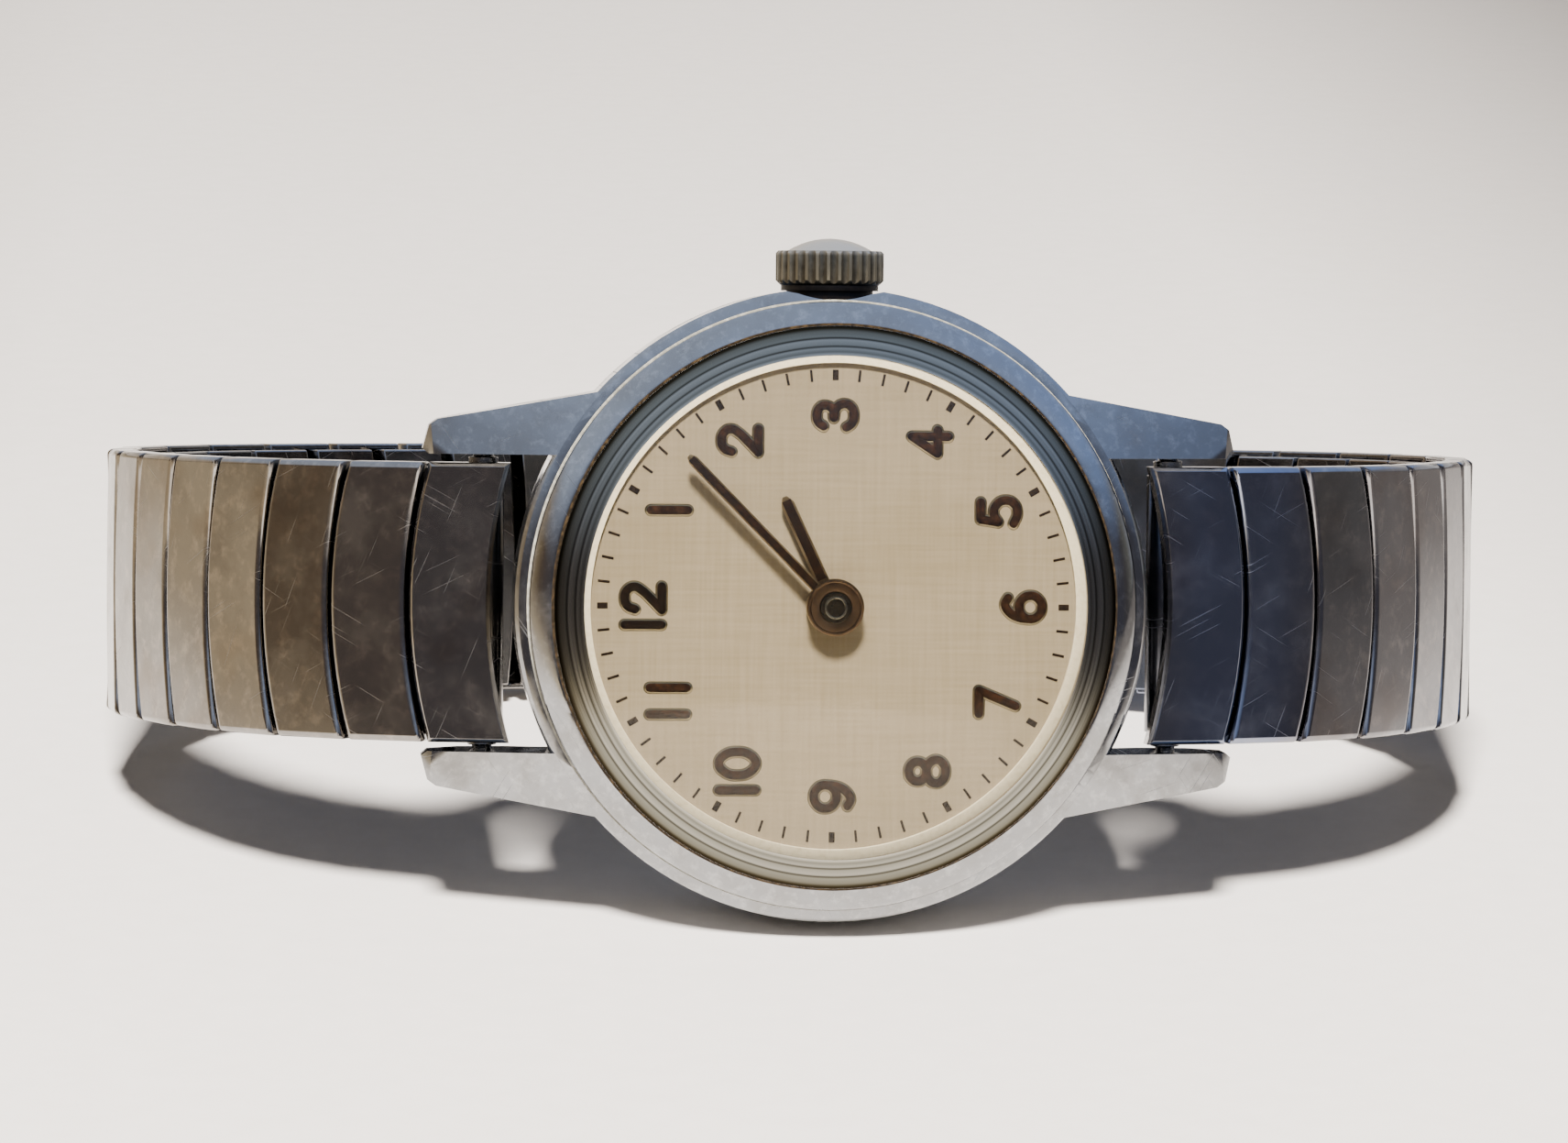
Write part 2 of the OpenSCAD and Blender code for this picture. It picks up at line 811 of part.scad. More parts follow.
module third_wheel() {
    train_wheel(third_p, third_n, third_m, level(1.05), third_pinion_n, center_m, level(0.1), level(0.45),
        third_pinion_ph);
}

module fourth_wheel() {
    train_wheel(fourth_p, fourth_n, fourth_m, level(0.65), fourth_pinion_n, third_m, level(1), level(1.35),
        fourth_pinion_ph);
}

module escape_wheel() {
    rim = escape_r - 1 * k;
    color(steel)
        stand()
            at(escape_p) {
                train_arbor();
                translate([0, 0, level(0.55)])
                    pinion(escape_pinion_n, fourth_m, level(0.95) - level(0.55), escape_pinion_ph);
                translate([0, 0, level(1.3)])
                    linear_extrude(level(1.55) - level(1.3))
                        difference() {
                            polygon([for (i = [0:escape_n - 1])
                                for (t = [[-4, -0.5], [3, 0], [7, -0.08], [8, -0.5]])
                                    polar(escape_r + t[1] * k, i * 360 / escape_n + t[0])]);
                            difference() {
                                circle(rim);
                                circle(0.6 * k);
                                for (a = [0, 90])
                                    rotate(a)
                                        square([4 * k, 0.34 * k], center = true);
                            }
                        }
            }
}

// Lever with two upright pallet pins and a forked end for the impulse pin
module pallet_fork() {
    pin_r = 0.08;
    bite = 2.3 * k;
    pallet = [bite * cos(42) - pallet_d, bite * sin(42)];
    z = level(1.6);
    t = level(1.95) - z;
    color(brass)
        stand()
            at(fork_p) {
                train_arbor();
                translate([0, 0, z])
                    linear_extrude(t) {
                        circle(0.75 * k);
                        rotate(fork_a)
                            for (s = [1, -1])
                                bar2d([0, 0], [pallet[0], s * pallet[1]], 0.62 * k);
                        rotate(balance_a)
                            difference() {
                                union() {
                                    bar2d([0, 0], [fork_l - 1 * k, 0], 0.44 * k);
                                    translate([fork_l - 1.2 * k, -0.36 * k])
                                        square([0.7 * k, 0.72 * k]);
                                }
                                translate([fork_l - 0.75 * k, -0.13 * k])
                                    square([1 * k, 0.26 * k]);
                            }
                    }
                rotate(fork_a)
                    for (s = [1, -1])
                        translate([pallet[0], s * pallet[1], level(1.25)])
                            cylinder(r = pin_r, h = z - level(1.25) + 0.1);
            }
}

module balance_wheel() {
    color(brass)
        stand()
            at(balance_p, level(0.55))
                linear_extrude(0.28)
                    difference() {
                        circle(balance_r);
                        difference() {
                            circle(balance_r - 0.42 * k);
                            circle(0.6 * k);
                            square([6 * k, 0.5 * k], center = true);
                        }
                        circle(0.25);
                    }
}

// Staff with the collet under the wheel, the roller over it and the impulse pin
module balance_staff() {
    color(steel)
        stand()
            at(balance_p) {
                translate([0, 0, z_train + run])
                    cylinder(r = 0.25, h = train_h - 2 * run);
                translate([0, 0, z_train - 0.5])
                    cylinder(r = pivot_r, h = train_h + 1);
                translate([0, 0, level(0.1)])
                    cylinder(r = 0.42, h = level(0.36) - level(0.1));
                translate([0, 0, level(1.25)])
                    cylinder(r = 0.75 * k, h = 0.2);
                rotate(balance_a + 180)
                    translate([0.55 * k, 0, level(1.3)])
                        cylinder(r = 0.08, h = level(1.92) - level(1.3));
            }
}

module hairspring() {
    color(steel)
        stand()
            at(balance_p, level(0.12))
                spiral(0.46, 1.5 * k, 8, 0.06, 0.2);
}

// MOTION WORK AND HANDS

module cannon_pinion() {
    color(steel)
        stand()
            difference() {
                union() {
                    translate([0, 0, z_motion + run])
                        cylinder(r = cannon_r, h = z_boss - z_motion - run);
                    translate([0, 0, z_motion + run])
                        pinion(cannon_n, cannon_m, 0.25, 0);
                }
                translate([0, 0, z_motion - 1])
                    cylinder(r = center_r, h = z_minute_hand + run - z_motion + 1);
            }
}

module minute_wheel() {
    color(brass)
        stand()
            at(minute_p, z_motion + run)
                difference() {
                    union() {
                        pinion(minute_n, cannon_m, 0.2, minute_ph);
                        pinion(minute_pinion_n, hour_m, 0.5, 0);
                    }
                    translate([0, 0, -1])
                        cylinder(r = 0.3 + run, h = 3);
                }
}

module hour_wheel() {
    color(brass)
        stand()
            difference() {
                union() {
                    translate([0, 0, z_motion + 0.35])
                        pinion(hour_n, hour_m, 0.16, hour_ph);
                    translate([0, 0, z_motion + 0.35])
                        cylinder(r = hour_tube_r, h = z_hour_hand + hand_t - z_motion - 0.35);
                }
                translate([0, 0, z_motion])
                    cylinder(r = cannon_r + run, h = 5);
            }
}

// Baton hand lying along twelve o'clock: a metal frame round a long window, on a round hub
module baton(length, w, hub_r, bore) {
    linear_extrude(hand_t)
        difference() {
            union() {
                circle(hub_r);
                translate([-w / 2, 0])
                    square([w, length - w * 0.6]);
                polygon([[-w / 2, length - w * 0.6], [w / 2, length - w * 0.6], [w * 0.18, length],
                    [-w * 0.18, length]]);
            }
            circle(bore);
            translate([-w * 0.28, hub_r + 0.35])
                square([w * 0.56, length - hub_r - 0.35 - w]);
        }
}

module hour_hand() {
    color(brown)
        stand()
            translate([0, 0, z_hour_hand])
                rotate(-hour_angle)
                    baton(hour_hand_l, hour_hand_w, 1.14, hour_tube_r);
}

module minute_hand() {
    color(brown)
        stand()
            translate([0, 0, z_minute_hand])
                rotate(-minute_angle)
                    baton(minute_hand_l, minute_hand_w, 1.1, cannon_r);
}

// BRACELET

// Lays children drawn along +Z on the spring bar's axis at twelve o'clock
module on_bar() {
    translate([0, bar_y, bar_z])
        rotate([0, 90, 0])
            children();
}

module spring_bars() {
    color(steel)
        stand()
            for (m = [0, 1])
                mirror([0, m, 0])
                    on_bar() {
                        cylinder(r = bar_r, h = lug_gap - 0.3, center = true);
                        cylinder(r = tip_r, h = lug_gap + 1.4, center = true);
                    }
}

// Puts a piece on the loop's outer line at distance s from the lug. The piece is drawn with +X outwards,
// +Y across the band and +Z along it.
module on_band(s) {
    p = along(s);
    translate([0, p[0], p[1]])
        rotate([-heading_at(s), 0, 0])
            rotate([0, 0, -90])
                rotate([0, -90, 0])
                    children();
}

// Round plan that ends on an arc at half0 from the link's middle, and at half1 where it is deepest. Grow is 1 for
// a hollow end that looks towards the case and -1 for a full end that looks away from it.
module round_end(d0, d1, half0, half1, bow, bevel, grow) {
    r = bow_r(bow);
    deep_r = r + grow * (half0 - half1);
    top_r = r + grow * bevel;
    half_a = 1.4 * asin(band_w / 2 / r);
    translate([0, 0, -grow * half0 + bow / 2 - r])
        rotate([0, -90, 0])
            rotate([0, 0, -half_a])
                rotate_extrude(angle = 2 * half_a, $fn = 8 * 180 / half_a)
                    polygon([[0, d0 - 1], [top_r, d0 - 1], [top_r, d0], [r, d0 + bevel], [deep_r, d1],
                        [deep_r, d1 + 1], [0, d1 + 1]]);
}

// Block of the link whose middle is at s on the band, between two depths, drawn in by inset all round. Its ends
// taper with the depth, so that neighbours keep clear of each other on a bend.
module link_block(s, w, d0, d1, inset = 0, bevel = 0) {
    half0 = link_len(d0) / 2 - inset;
    half1 = link_len(d1) / 2 - inset;
    side = w / 2 - inset;
    difference() {
        intersection() {
            linear_extrude(pitch + link_bow, center = true)
                polygon([[-d0, bevel - side], [-d0, side - bevel], [-d0 - bevel, side], [-d1, side], [-d1, -side],
                    [-d0 - bevel, -side]]);
            round_end(d0, d1, half0, half1, bow_at(s + pitch / 2), bevel, -1);
        }
        round_end(d0, d1, half0, half1, bow_at(s - pitch / 2), bevel, 1);
    }
}

// Hollow polished top link, open underneath
module top_link(s) {
    on_band(s)
        difference() {
            link_block(s, band_w, 0, shell_h, 0, link_bevel);
            link_block(s, band_w, sheet, shell_h + 0.5, sheet);
        }
}

// Bottom link, a tray a little narrower than the top links and open towards them
module bottom_link(s) {
    d0 = shell_h + layer_gap;
    w = band_w - 0.5;
    on_band(s)
        difference() {
            link_block(s, w, d0, floor_d);
            link_block(s, w, d0 - 0.5, floor_d - sheet, sheet);
        }
}

// Staples at both edges of the band: one leg under a top link's skin, the other on a bottom link's floor
module staples(s) {
    deep = floor_d - sheet - 0.06;
    high = sheet + 0.01;
    w = 0.3;
    leg = 0.22;
    on_band(s)
        for (m = [0, 1])
            mirror([0, m, 0])
                translate([0, band_w / 2 - 1.5, -w / 2])
                    linear_extrude(w)
                        polygon([[-high, 0.5], [-high, -0.7], [-high - leg, -0.7], [-high - leg, 0.28],
                            [-deep + leg, 0.28], [-deep + leg, -0.7], [-deep, -0.7], [-deep, 0.5]]);
}

// Links first to last of one half, counted from the lug, with the bottom links under and after each one
module run_of_links(first, last) {
    for (i = [first:last]) {
        top_link((i - 0.5) * pitch);
        if (i < half_links) {
            bottom_link(i * pitch);
            staples((i - 0.25) * pitch);
        }
        if (i > first)
            staples((i - 0.75) * pitch);
    }
}

// First link of each half with the sleeve that hangs from it on a web and holds the spring bar
module end_links() {
    sleeve_r = bar_r + run + 0.2;
    color(chrome)
        stand()
            for (m = [0, 1])
                mirror([0, m, 0])
                    difference() {
                        union() {
                            run_of_links(1, 1);
                            intersection() {
                                translate([-web_w / 2, bar_y - sheet / 2, bar_z])
                                    cube([web_w, sheet, z_flange]);
                                on_band(0.5 * pitch)
                                    link_block(0.5 * pitch, band_w, sheet / 2, 2 * floor_d);
                            }
                            on_bar()
                                cylinder(r = sleeve_r, h = band_w - 0.8, center = true);
                        }
                        on_bar()
                            cylinder(r = bar_r + run, h = lug_gap, center = true);
                    }
}

// Section 1 holds the second link, sections 2 to 9 two links each, section 10 the middle pair at the back, and
// sections 11 to 19 mirror 9 to 1
module section(n) {
    color(chrome)
        stand() {
            if (n == 10) {
                run_of_links(half_links, half_links);
                mirror([0, 1, 0])
                    run_of_links(half_links, half_links);
                bottom_link(half_len - 0.0001);
                for (m = [0, 1])
                    mirror([0, m, 0])
                        staples((half_links - 0.25) * pitch);
            } else {
                j = n < 10 ? n : 20 - n;
                mirror([0, n < 10 ? 0 : 1, 0])
                    run_of_links(j == 1 ? 2 : 2 * j - 1, j == 1 ? 2 : 2 * j);
            }
        }
}

case_body();
bezel();
crystal();
caseback();
caseback_gasket();
crown_tube();
movement_ring();
dial();
main_plate();
pillars();
train_bridge();
balance_cock();
bridge_screws();
click_spring();
hairspring();
spring_bars();
end_links();
crown();
crown_gasket();
stem();
winding_pinion();
crown_wheel();
ratchet_wheel();
barrel_arbor();
click();
barrel_drum();
mainspring();
center_arbor();
center_wheel();
cannon_pinion();
minute_hand();
minute_wheel();
hour_wheel();
hour_hand();
third_wheel();
fourth_wheel();
escape_wheel();
pallet_fork();
balance_wheel();
balance_staff();
section(1);  // links_01
section(2);  // links_02
section(3);  // links_03
section(4);  // links_04
section(5);  // links_05
section(6);  // links_06
section(7);  // links_07
section(8);  // links_08
section(9);  // links_09
section(10);  // links_10
section(11);  // links_11
section(12);  // links_12
section(13);  // links_13
section(14);  // links_14
section(15);  // links_15
section(16);  // links_16
section(17);  // links_17
section(18);  // links_18
section(19);  // links_19
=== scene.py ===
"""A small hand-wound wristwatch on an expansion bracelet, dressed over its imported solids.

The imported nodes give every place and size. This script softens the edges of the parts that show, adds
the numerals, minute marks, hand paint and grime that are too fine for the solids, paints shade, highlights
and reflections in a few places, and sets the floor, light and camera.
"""

import json
import logging
import math
from dataclasses import dataclass
from enum import Enum

import bpy
from mathutils import Matrix, Vector


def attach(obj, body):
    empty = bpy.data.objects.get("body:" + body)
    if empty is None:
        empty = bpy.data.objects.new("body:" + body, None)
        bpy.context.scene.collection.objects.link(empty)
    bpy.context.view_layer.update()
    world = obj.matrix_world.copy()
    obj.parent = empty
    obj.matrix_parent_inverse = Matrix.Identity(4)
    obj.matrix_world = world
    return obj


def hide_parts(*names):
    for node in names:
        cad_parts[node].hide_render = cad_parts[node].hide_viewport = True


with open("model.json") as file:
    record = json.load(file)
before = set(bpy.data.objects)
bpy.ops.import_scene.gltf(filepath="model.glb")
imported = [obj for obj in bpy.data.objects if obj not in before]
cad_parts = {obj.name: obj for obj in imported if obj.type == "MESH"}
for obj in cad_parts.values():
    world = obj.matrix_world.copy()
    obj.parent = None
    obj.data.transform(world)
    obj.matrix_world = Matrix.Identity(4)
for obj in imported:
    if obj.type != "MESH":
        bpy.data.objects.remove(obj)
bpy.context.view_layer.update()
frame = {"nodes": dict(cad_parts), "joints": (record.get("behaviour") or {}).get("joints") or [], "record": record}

Piece = bpy.types.Object
Tree = bpy.types.NodeTree
Node = bpy.types.Node
Socket = bpy.types.NodeSocket
Span = tuple[float, float]
Stops = tuple[tuple[float, str], ...]

MM = 0.001
WELD = 0.001 * MM
LOOP_R_MM = 22.0
LOOP_DEPTH_MM = 14.0
SCRATCH_TURNS = (0.6, 1.9, 2.6)
SCRATCH_STRETCH = (40.0, 1.0, 1.0)
SCRATCH_FADE = 0.06
LOG = logging.getLogger("wristwatch")


def linear(colour: str) -> tuple[float, float, float, float]:
    """Turn an sRGB hex colour into linear light.

    Args:
        colour: Six hex digits after a hash sign.

    Returns:
        Red, green and blue in linear light, and an alpha of one.
    """
    parts = [int(colour[i:i + 2], 16) / 255 for i in (1, 3, 5)]
    red, green, blue = (c / 12.92 if c <= 0.04045 else ((c + 0.055) / 1.055) ** 2.4 for c in parts)
    return red, green, blue, 1.0


def per_mm(size_mm: float) -> float:
    """Give the texture scale at which a pattern's features are this many millimetres apart."""
    return 1 / (size_mm * MM)


def feed(tree: Tree, node: Node, inputs: dict) -> None:
    """Set or link a node's inputs.

    Args:
        tree: The node's tree.
        node: The node.
        inputs: By name or number, a value to set, a socket to link, or a node to link by its first output
            in use.
    """
    for key, value in inputs.items():
        if isinstance(value, Node):
            value = next(output for output in value.outputs if output.enabled)
        if isinstance(value, Socket):
            tree.links.new(value, node.inputs[key])
        else:
            node.inputs[key].default_value = value


def add_node(tree: Tree, kind: str, settings: dict | None = None) -> Node:
    """Add a shader node with its settings and links.

    Args:
        tree: The node tree that gets the node.
        kind: Blender's name for the kind of node.
        settings: Properties by name, "stops" of a colour ramp, and inputs by socket name or number.

    Returns:
        The new node.
    """
    node = tree.nodes.new(kind)
    inputs = {}
    for key, value in (settings or {}).items():
        if key == "stops":
            ramp = node.color_ramp.elements
            while len(ramp) < len(value):
                ramp.new(1.0)
            for stop, (position, colour) in zip(ramp, value):
                stop.position = position
                stop.color = linear(colour)
        elif isinstance(key, str) and key.islower():
            setattr(node, key, value)
        else:
            inputs[key] = value
    feed(tree, node, inputs)
    return node


def activate(piece: Piece) -> None:
    """Make a piece the one selected and active object.

    Args:
        piece: The piece.
    """
    bpy.ops.object.select_all(action="DESELECT")
    piece.select_set(True)
    bpy.context.view_layer.objects.active = piece


def round_edges(piece: Piece, width_mm: float, steps: int = 2, least_deg: float = 30) -> None:
    """Round a piece's sharp edges and shade it smooth, with its flat faces kept flat.

    Args:
        piece: The piece, which becomes active.
        width_mm: Width of the rounding.
        steps: Faces across the rounding.
        least_deg: The angle from which an edge counts as sharp.
    """
    activate(piece)
    bpy.ops.object.modifier_add(type="BEVEL")
    edge = piece.modifiers[-1]
    edge.width = width_mm * MM
    edge.segments = steps
    edge.limit_method = "ANGLE"
    edge.angle_limit = math.radians(least_deg)
    edge.use_clamp_overlap = True
    edge.harden_normals = False
    bpy.ops.object.modifier_apply(modifier=edge.name)
    bpy.ops.object.shade_smooth_by_angle(angle=math.radians(least_deg))
    bpy.ops.object.modifier_add(type="WEIGHTED_NORMAL")
    flats = piece.modifiers[-1]
    flats.keep_sharp = True
    bpy.ops.object.modifier_apply(modifier=flats.name)


def off_axis(corner: Vector) -> float:
    """Give the distance from the hands' axis of a point in the watch's axes."""
    return math.hypot(corner.x, corner.y)


@dataclass(frozen=True)
class WatchAxes:
    """The watch's own axes in the frame: to the crown, to twelve o'clock and out of the dial."""

    origin: Vector
    crown: Vector
    twelve: Vector
    face: Vector

    @classmethod
    def from_record(cls, record: dict) -> "WatchAxes":
        """Read the axes from the joints and the mount on the back.

        Args:
            record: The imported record.

        Returns:
            The axes, with their origin in the middle of the caseback's outer face.
        """
        joints = {joint["name"]: joint for joint in record["behaviour"]["joints"]}
        back = next(mount for mount in record["mounts"] if mount["name"] == "caseback")
        face = -Vector(joints["hands_turn"]["axis"])
        crown = Vector(joints["crown_turn"]["axis"])
        return cls(Vector(back["pos_m"]), crown, face.cross(crown), face)

    def placing(self) -> Matrix:
        """Give the matrix that carries a mesh drawn in the watch's axes to its place."""
        turn = Matrix((self.crown, self.twelve, self.face)).transposed().to_4x4()
        return Matrix.Translation(self.origin) @ turn

    def mapping(self) -> dict:
        """Give a Mapping node's settings that read a pattern in the watch's axes."""
        back = self.placing().inverted()
        return {"Location": back.to_translation(), "Rotation": back.to_euler()}

    def local(self, node: str) -> list[Vector]:
        """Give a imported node's corners in the watch's axes."""
        back = self.placing().inverted()
        return [back @ corner.co for corner in frame["nodes"][node].data.vertices]

    def top(self, node: str) -> float:
        """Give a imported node's highest point above the caseback."""
        return max(corner.z for corner in self.local(node))

    def radius(self, node: str) -> float:
        """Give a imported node's largest distance from the hands' axis."""
        return max(off_axis(corner) for corner in self.local(node))

    def stem_height(self) -> float:
        """Give the height of the winding stem above the caseback."""
        stem = next(joint for joint in frame["joints"] if joint["name"] == "crown_turn")
        return (self.placing().inverted() @ Vector(stem["pos_m"])).z

    def off_stem(self, corner: Vector) -> float:
        """Give the distance from the winding stem's axis of a point in the watch's axes."""
        return math.hypot(corner.y, corner.z - self.stem_height())


AXES = WatchAxes.from_record(frame["record"])
BODY_OF = {node: body for body, nodes in frame["record"]["behaviour"]["bodies"].items() for node in nodes}


def over_face(tree: Tree, place: Socket) -> Node:
    """Give coordinates that lie in the plan of the watch's face, with no height."""
    own = add_node(tree, "ShaderNodeMapping", {"Vector": place, **AXES.mapping()})
    return add_node(tree, "ShaderNodeVectorMath", {"operation": "MULTIPLY", 0: own, 1: (1.0, 1.0, 0.0)})


def round_loop(tree: Tree, place: Socket) -> Node:
    """Give coordinates that follow the bracelet.

    Args:
        tree: The material's node tree.
        place: Coordinates in the frame.

    Returns:
        A node with the way round the loop as X and the way across the band as Y.
    """
    own = add_node(tree, "ShaderNodeMapping", {"Vector": place, **AXES.mapping()})
    parts = add_node(tree, "ShaderNodeSeparateXYZ", {0: own}).outputs
    above = add_node(tree, "ShaderNodeMath", {"operation": "ADD", 0: parts["Z"], 1: LOOP_DEPTH_MM * MM})
    turn = add_node(tree, "ShaderNodeMath", {"operation": "ARCTAN2", 0: parts["Y"], 1: above})
    way = add_node(tree, "ShaderNodeMath", {"operation": "MULTIPLY", 0: turn, 1: LOOP_R_MM * MM})
    return add_node(tree, "ShaderNodeCombineXYZ", {0: way, 1: parts["X"]})


def by_stem(tree: Tree, place: Socket) -> tuple[Node, Socket]:
    """Measure from the winding stem.

    Args:
        tree: The material's node tree.
        place: Coordinates in the frame.

    Returns:
        The distance from the stem's axis, and the way along it from the hands' axis.
    """
    own = add_node(tree, "ShaderNodeMapping", {"Vector": place, **AXES.mapping()})
    stem = (0.0, 0.0, AXES.stem_height())
    across = add_node(tree, "ShaderNodeVectorMath", {"operation": "SUBTRACT", 0: own, 1: stem})
    flat = add_node(tree, "ShaderNodeVectorMath", {"operation": "MULTIPLY", 0: across, 1: (0.0, 1.0, 1.0)})
    away = add_node(tree, "ShaderNodeVectorMath", {"operation": "LENGTH", 0: flat})
    parts = add_node(tree, "ShaderNodeSeparateXYZ", {0: own})
    return away, parts.outputs["X"]


def turned_lines(tree: Tree, place: Socket, size_mm: float, detail: float) -> tuple[Node, Node]:
    """Draw fine rings round the hands' axis.

    Args:
        tree: The material's node tree.
        place: Coordinates in the frame.
        size_mm: How far apart the rings are.
        detail: How many finer layers they have.

    Returns:
        The distance from the axis, and the rings.
    """
    away = add_node(tree, "ShaderNodeVectorMath", {"operation": "LENGTH", 0: over_face(tree, place)})
    lines = add_node(tree, "ShaderNodeTexNoise", {"noise_dimensions": "1D", "W": away,
                                                  "Scale": per_mm(size_mm), "Detail": detail})
    return away, lines


def hairlines(tree: Tree, face: Node, width_mm: float, most: float = 0.83) -> Node:
    """Draw fine straight scratches that cross at several angles.

    Args:
        tree: The material's node tree.
        face: Flat coordinates that lie in the surface.
        width_mm: Spacing of the noise that the scratches are cut from.
        most: The noise level above which a scratch shows.

    Returns:
        A node that is one on a scratch and zero beside it.
    """
    found = None
    for turn in SCRATCH_TURNS:
        along = add_node(tree, "ShaderNodeMapping", {"vector_type": "TEXTURE", "Vector": face,
                                                     "Rotation": (0.0, 0.0, turn), "Scale": SCRATCH_STRETCH})
        grain = add_node(tree, "ShaderNodeTexNoise", {"noise_dimensions": "2D", "Vector": along,
                                                      "Scale": per_mm(width_mm), "Detail": 0.0})
        line = add_node(tree, "ShaderNodeMapRange", {"Value": grain, "From Min": most,
                                                     "From Max": most + SCRATCH_FADE})
        if found is not None:
            line = add_node(tree, "ShaderNodeMath", {"operation": "MAXIMUM", 0: found, 1: line})
        found = line
    return found


@dataclass(frozen=True)
class Finish:
    """A surface finish: the name of its material and how its pattern is drawn."""

    name: str

    def material(self) -> bpy.types.Material:
        """Give the finish's material, made the first time it is asked for.

        Returns:
            The material.
        """
        made = bpy.data.materials.get(self.name)
        if made is None:
            made = bpy.data.materials.new(self.name)
            made.use_nodes = True
            tree = made.node_tree
            place = add_node(tree, "ShaderNodeTexCoord").outputs["Object"]
            self.paint(tree, tree.nodes["Principled BSDF"], place)
        return made

    def paint(self, tree: Tree, shader: Node, place: Socket) -> None:
        """Draw the finish's pattern on its shader."""
        raise NotImplementedError


@dataclass(frozen=True)
class PolishedPlate(Finish):
    """Chrome plate buffed to a mirror and worn: clear reflections, hairline scratches, a film of grime."""

    colour: str = "#8f9193"
    film: str = "#78736a"
    gloss: float = 0.07
    haze: float = 0.2
    haze_full: float = 0.68
    scuffed: float = 0.3
    # Real hairlines are too fine to show, so these are drawn as coarse as they need to be.
    scratch_mm: float = 0.1
    film_mm: float = 2.2
    film_from: float = 0.42
    film_full: float = 0.75
    film_most: float = 0.45
    pale: str = "#c3c5c6"
    pale_mm: float = 0.45
    pale_from: float = 0.5
    pale_full: float = 0.68
    pale_most: float = 0.32

    def paint(self, tree: Tree, shader: Node, place: Socket) -> None:
        """Draw the film as clouds, and cut the scratches into gloss and relief.

        Args:
            tree: The material's node tree.
            shader: Its Principled shader.
            place: Coordinates in the frame.
        """
        scratch = hairlines(tree, self.face(tree, place), self.scratch_mm)
        cloud = add_node(tree, "ShaderNodeTexNoise", {"Vector": place, "Scale": per_mm(self.film_mm),
                                                      "Detail": 8.0, "Roughness": 0.62})
        smear = add_node(tree, "ShaderNodeMapRange", {"Value": cloud, "From Min": self.film_from,
                                                      "From Max": self.haze_full, "To Min": self.gloss,
                                                      "To Max": self.gloss + self.haze})
        rough = add_node(tree, "ShaderNodeMix", {"data_type": "FLOAT", 0: scratch, 2: smear, 3: self.scuffed})
        relief = add_node(tree, "ShaderNodeBump", {"invert": True, "Height": scratch, "Strength": 0.04,
                                                   "Distance": 0.01 * MM})
        feed(tree, shader, {"Base Color": self.tint(tree, place, cloud), "Metallic": 1.0,
                            "Roughness": rough, "Normal": relief})

    def face(self, tree: Tree, place: Socket) -> Node:
        """Give the flat coordinates in which the scratches run."""
        return over_face(tree, place)

    def tint(self, tree: Tree, place: Socket, cloud: Node) -> Node:
        """Veil the plate's colour with the film where the cloud is thick, and rub it pale in specks.

        Args:
            tree: The material's node tree.
            place: Coordinates in the frame.
            cloud: The noise that the film is drawn from.

        Returns:
            The node that gives the colour.
        """
        veil = add_node(tree, "ShaderNodeMapRange", {"Value": cloud, "From Min": self.film_from,
                                                     "From Max": self.film_full, "To Max": self.film_most})
        mixed = add_node(tree, "ShaderNodeMix", {"data_type": "RGBA", 0: veil, 6: linear(self.colour),
                                                 7: linear(self.film)})
        grain = add_node(tree, "ShaderNodeTexNoise", {"Vector": place, "Scale": per_mm(self.pale_mm),
                                                      "Detail": 6.0, "Roughness": 0.7})
        rubbed = add_node(tree, "ShaderNodeMapRange", {"Value": grain, "From Min": self.pale_from,
                                                       "From Max": self.pale_full, "To Max": self.pale_most})
        return add_node(tree, "ShaderNodeMix", {"data_type": "RGBA", 0: rubbed, 6: mixed,
                                                7: linear(self.pale)})


@dataclass(frozen=True)
class CasePlate(PolishedPlate):
    """The case's plate, painted black in the hollow under the crown: painted shade, where shade falls."""

    # Painted shade: black for the hollow under the crown.
    grease: str = "#0d0b0a"
    hollow_r_mm: float = 2.35
    hollow_x_mm: float = 11.6
    fade_mm: float = 0.15

    def tint(self, tree: Tree, place: Socket, cloud: Node) -> Node:
        """Paint the plate black near the stem, outside the case's wall, as painted shade in the hollow.

        Args:
            tree: The material's node tree.
            place: Coordinates in the frame.
            cloud: The noise that the film is drawn from.

        Returns:
            The node that gives the colour.
        """
        plate = super().tint(tree, place, cloud)
        # Painted shade: the plate goes black in the hollow under the crown, where shade falls.
        away, along = by_stem(tree, place)
        near = add_node(tree, "ShaderNodeMapRange", {"Value": away, "From Min": self.hollow_r_mm * MM,
                                                     "From Max": (self.hollow_r_mm - self.fade_mm) * MM})
        out = add_node(tree, "ShaderNodeMath", {"operation": "GREATER_THAN", 0: along,
                                                1: self.hollow_x_mm * MM})
        both = add_node(tree, "ShaderNodeMath", {"operation": "MULTIPLY", 0: near, 1: out})
        return add_node(tree, "ShaderNodeMix", {"data_type": "RGBA", 0: both, 6: plate,
                                                7: linear(self.grease)})


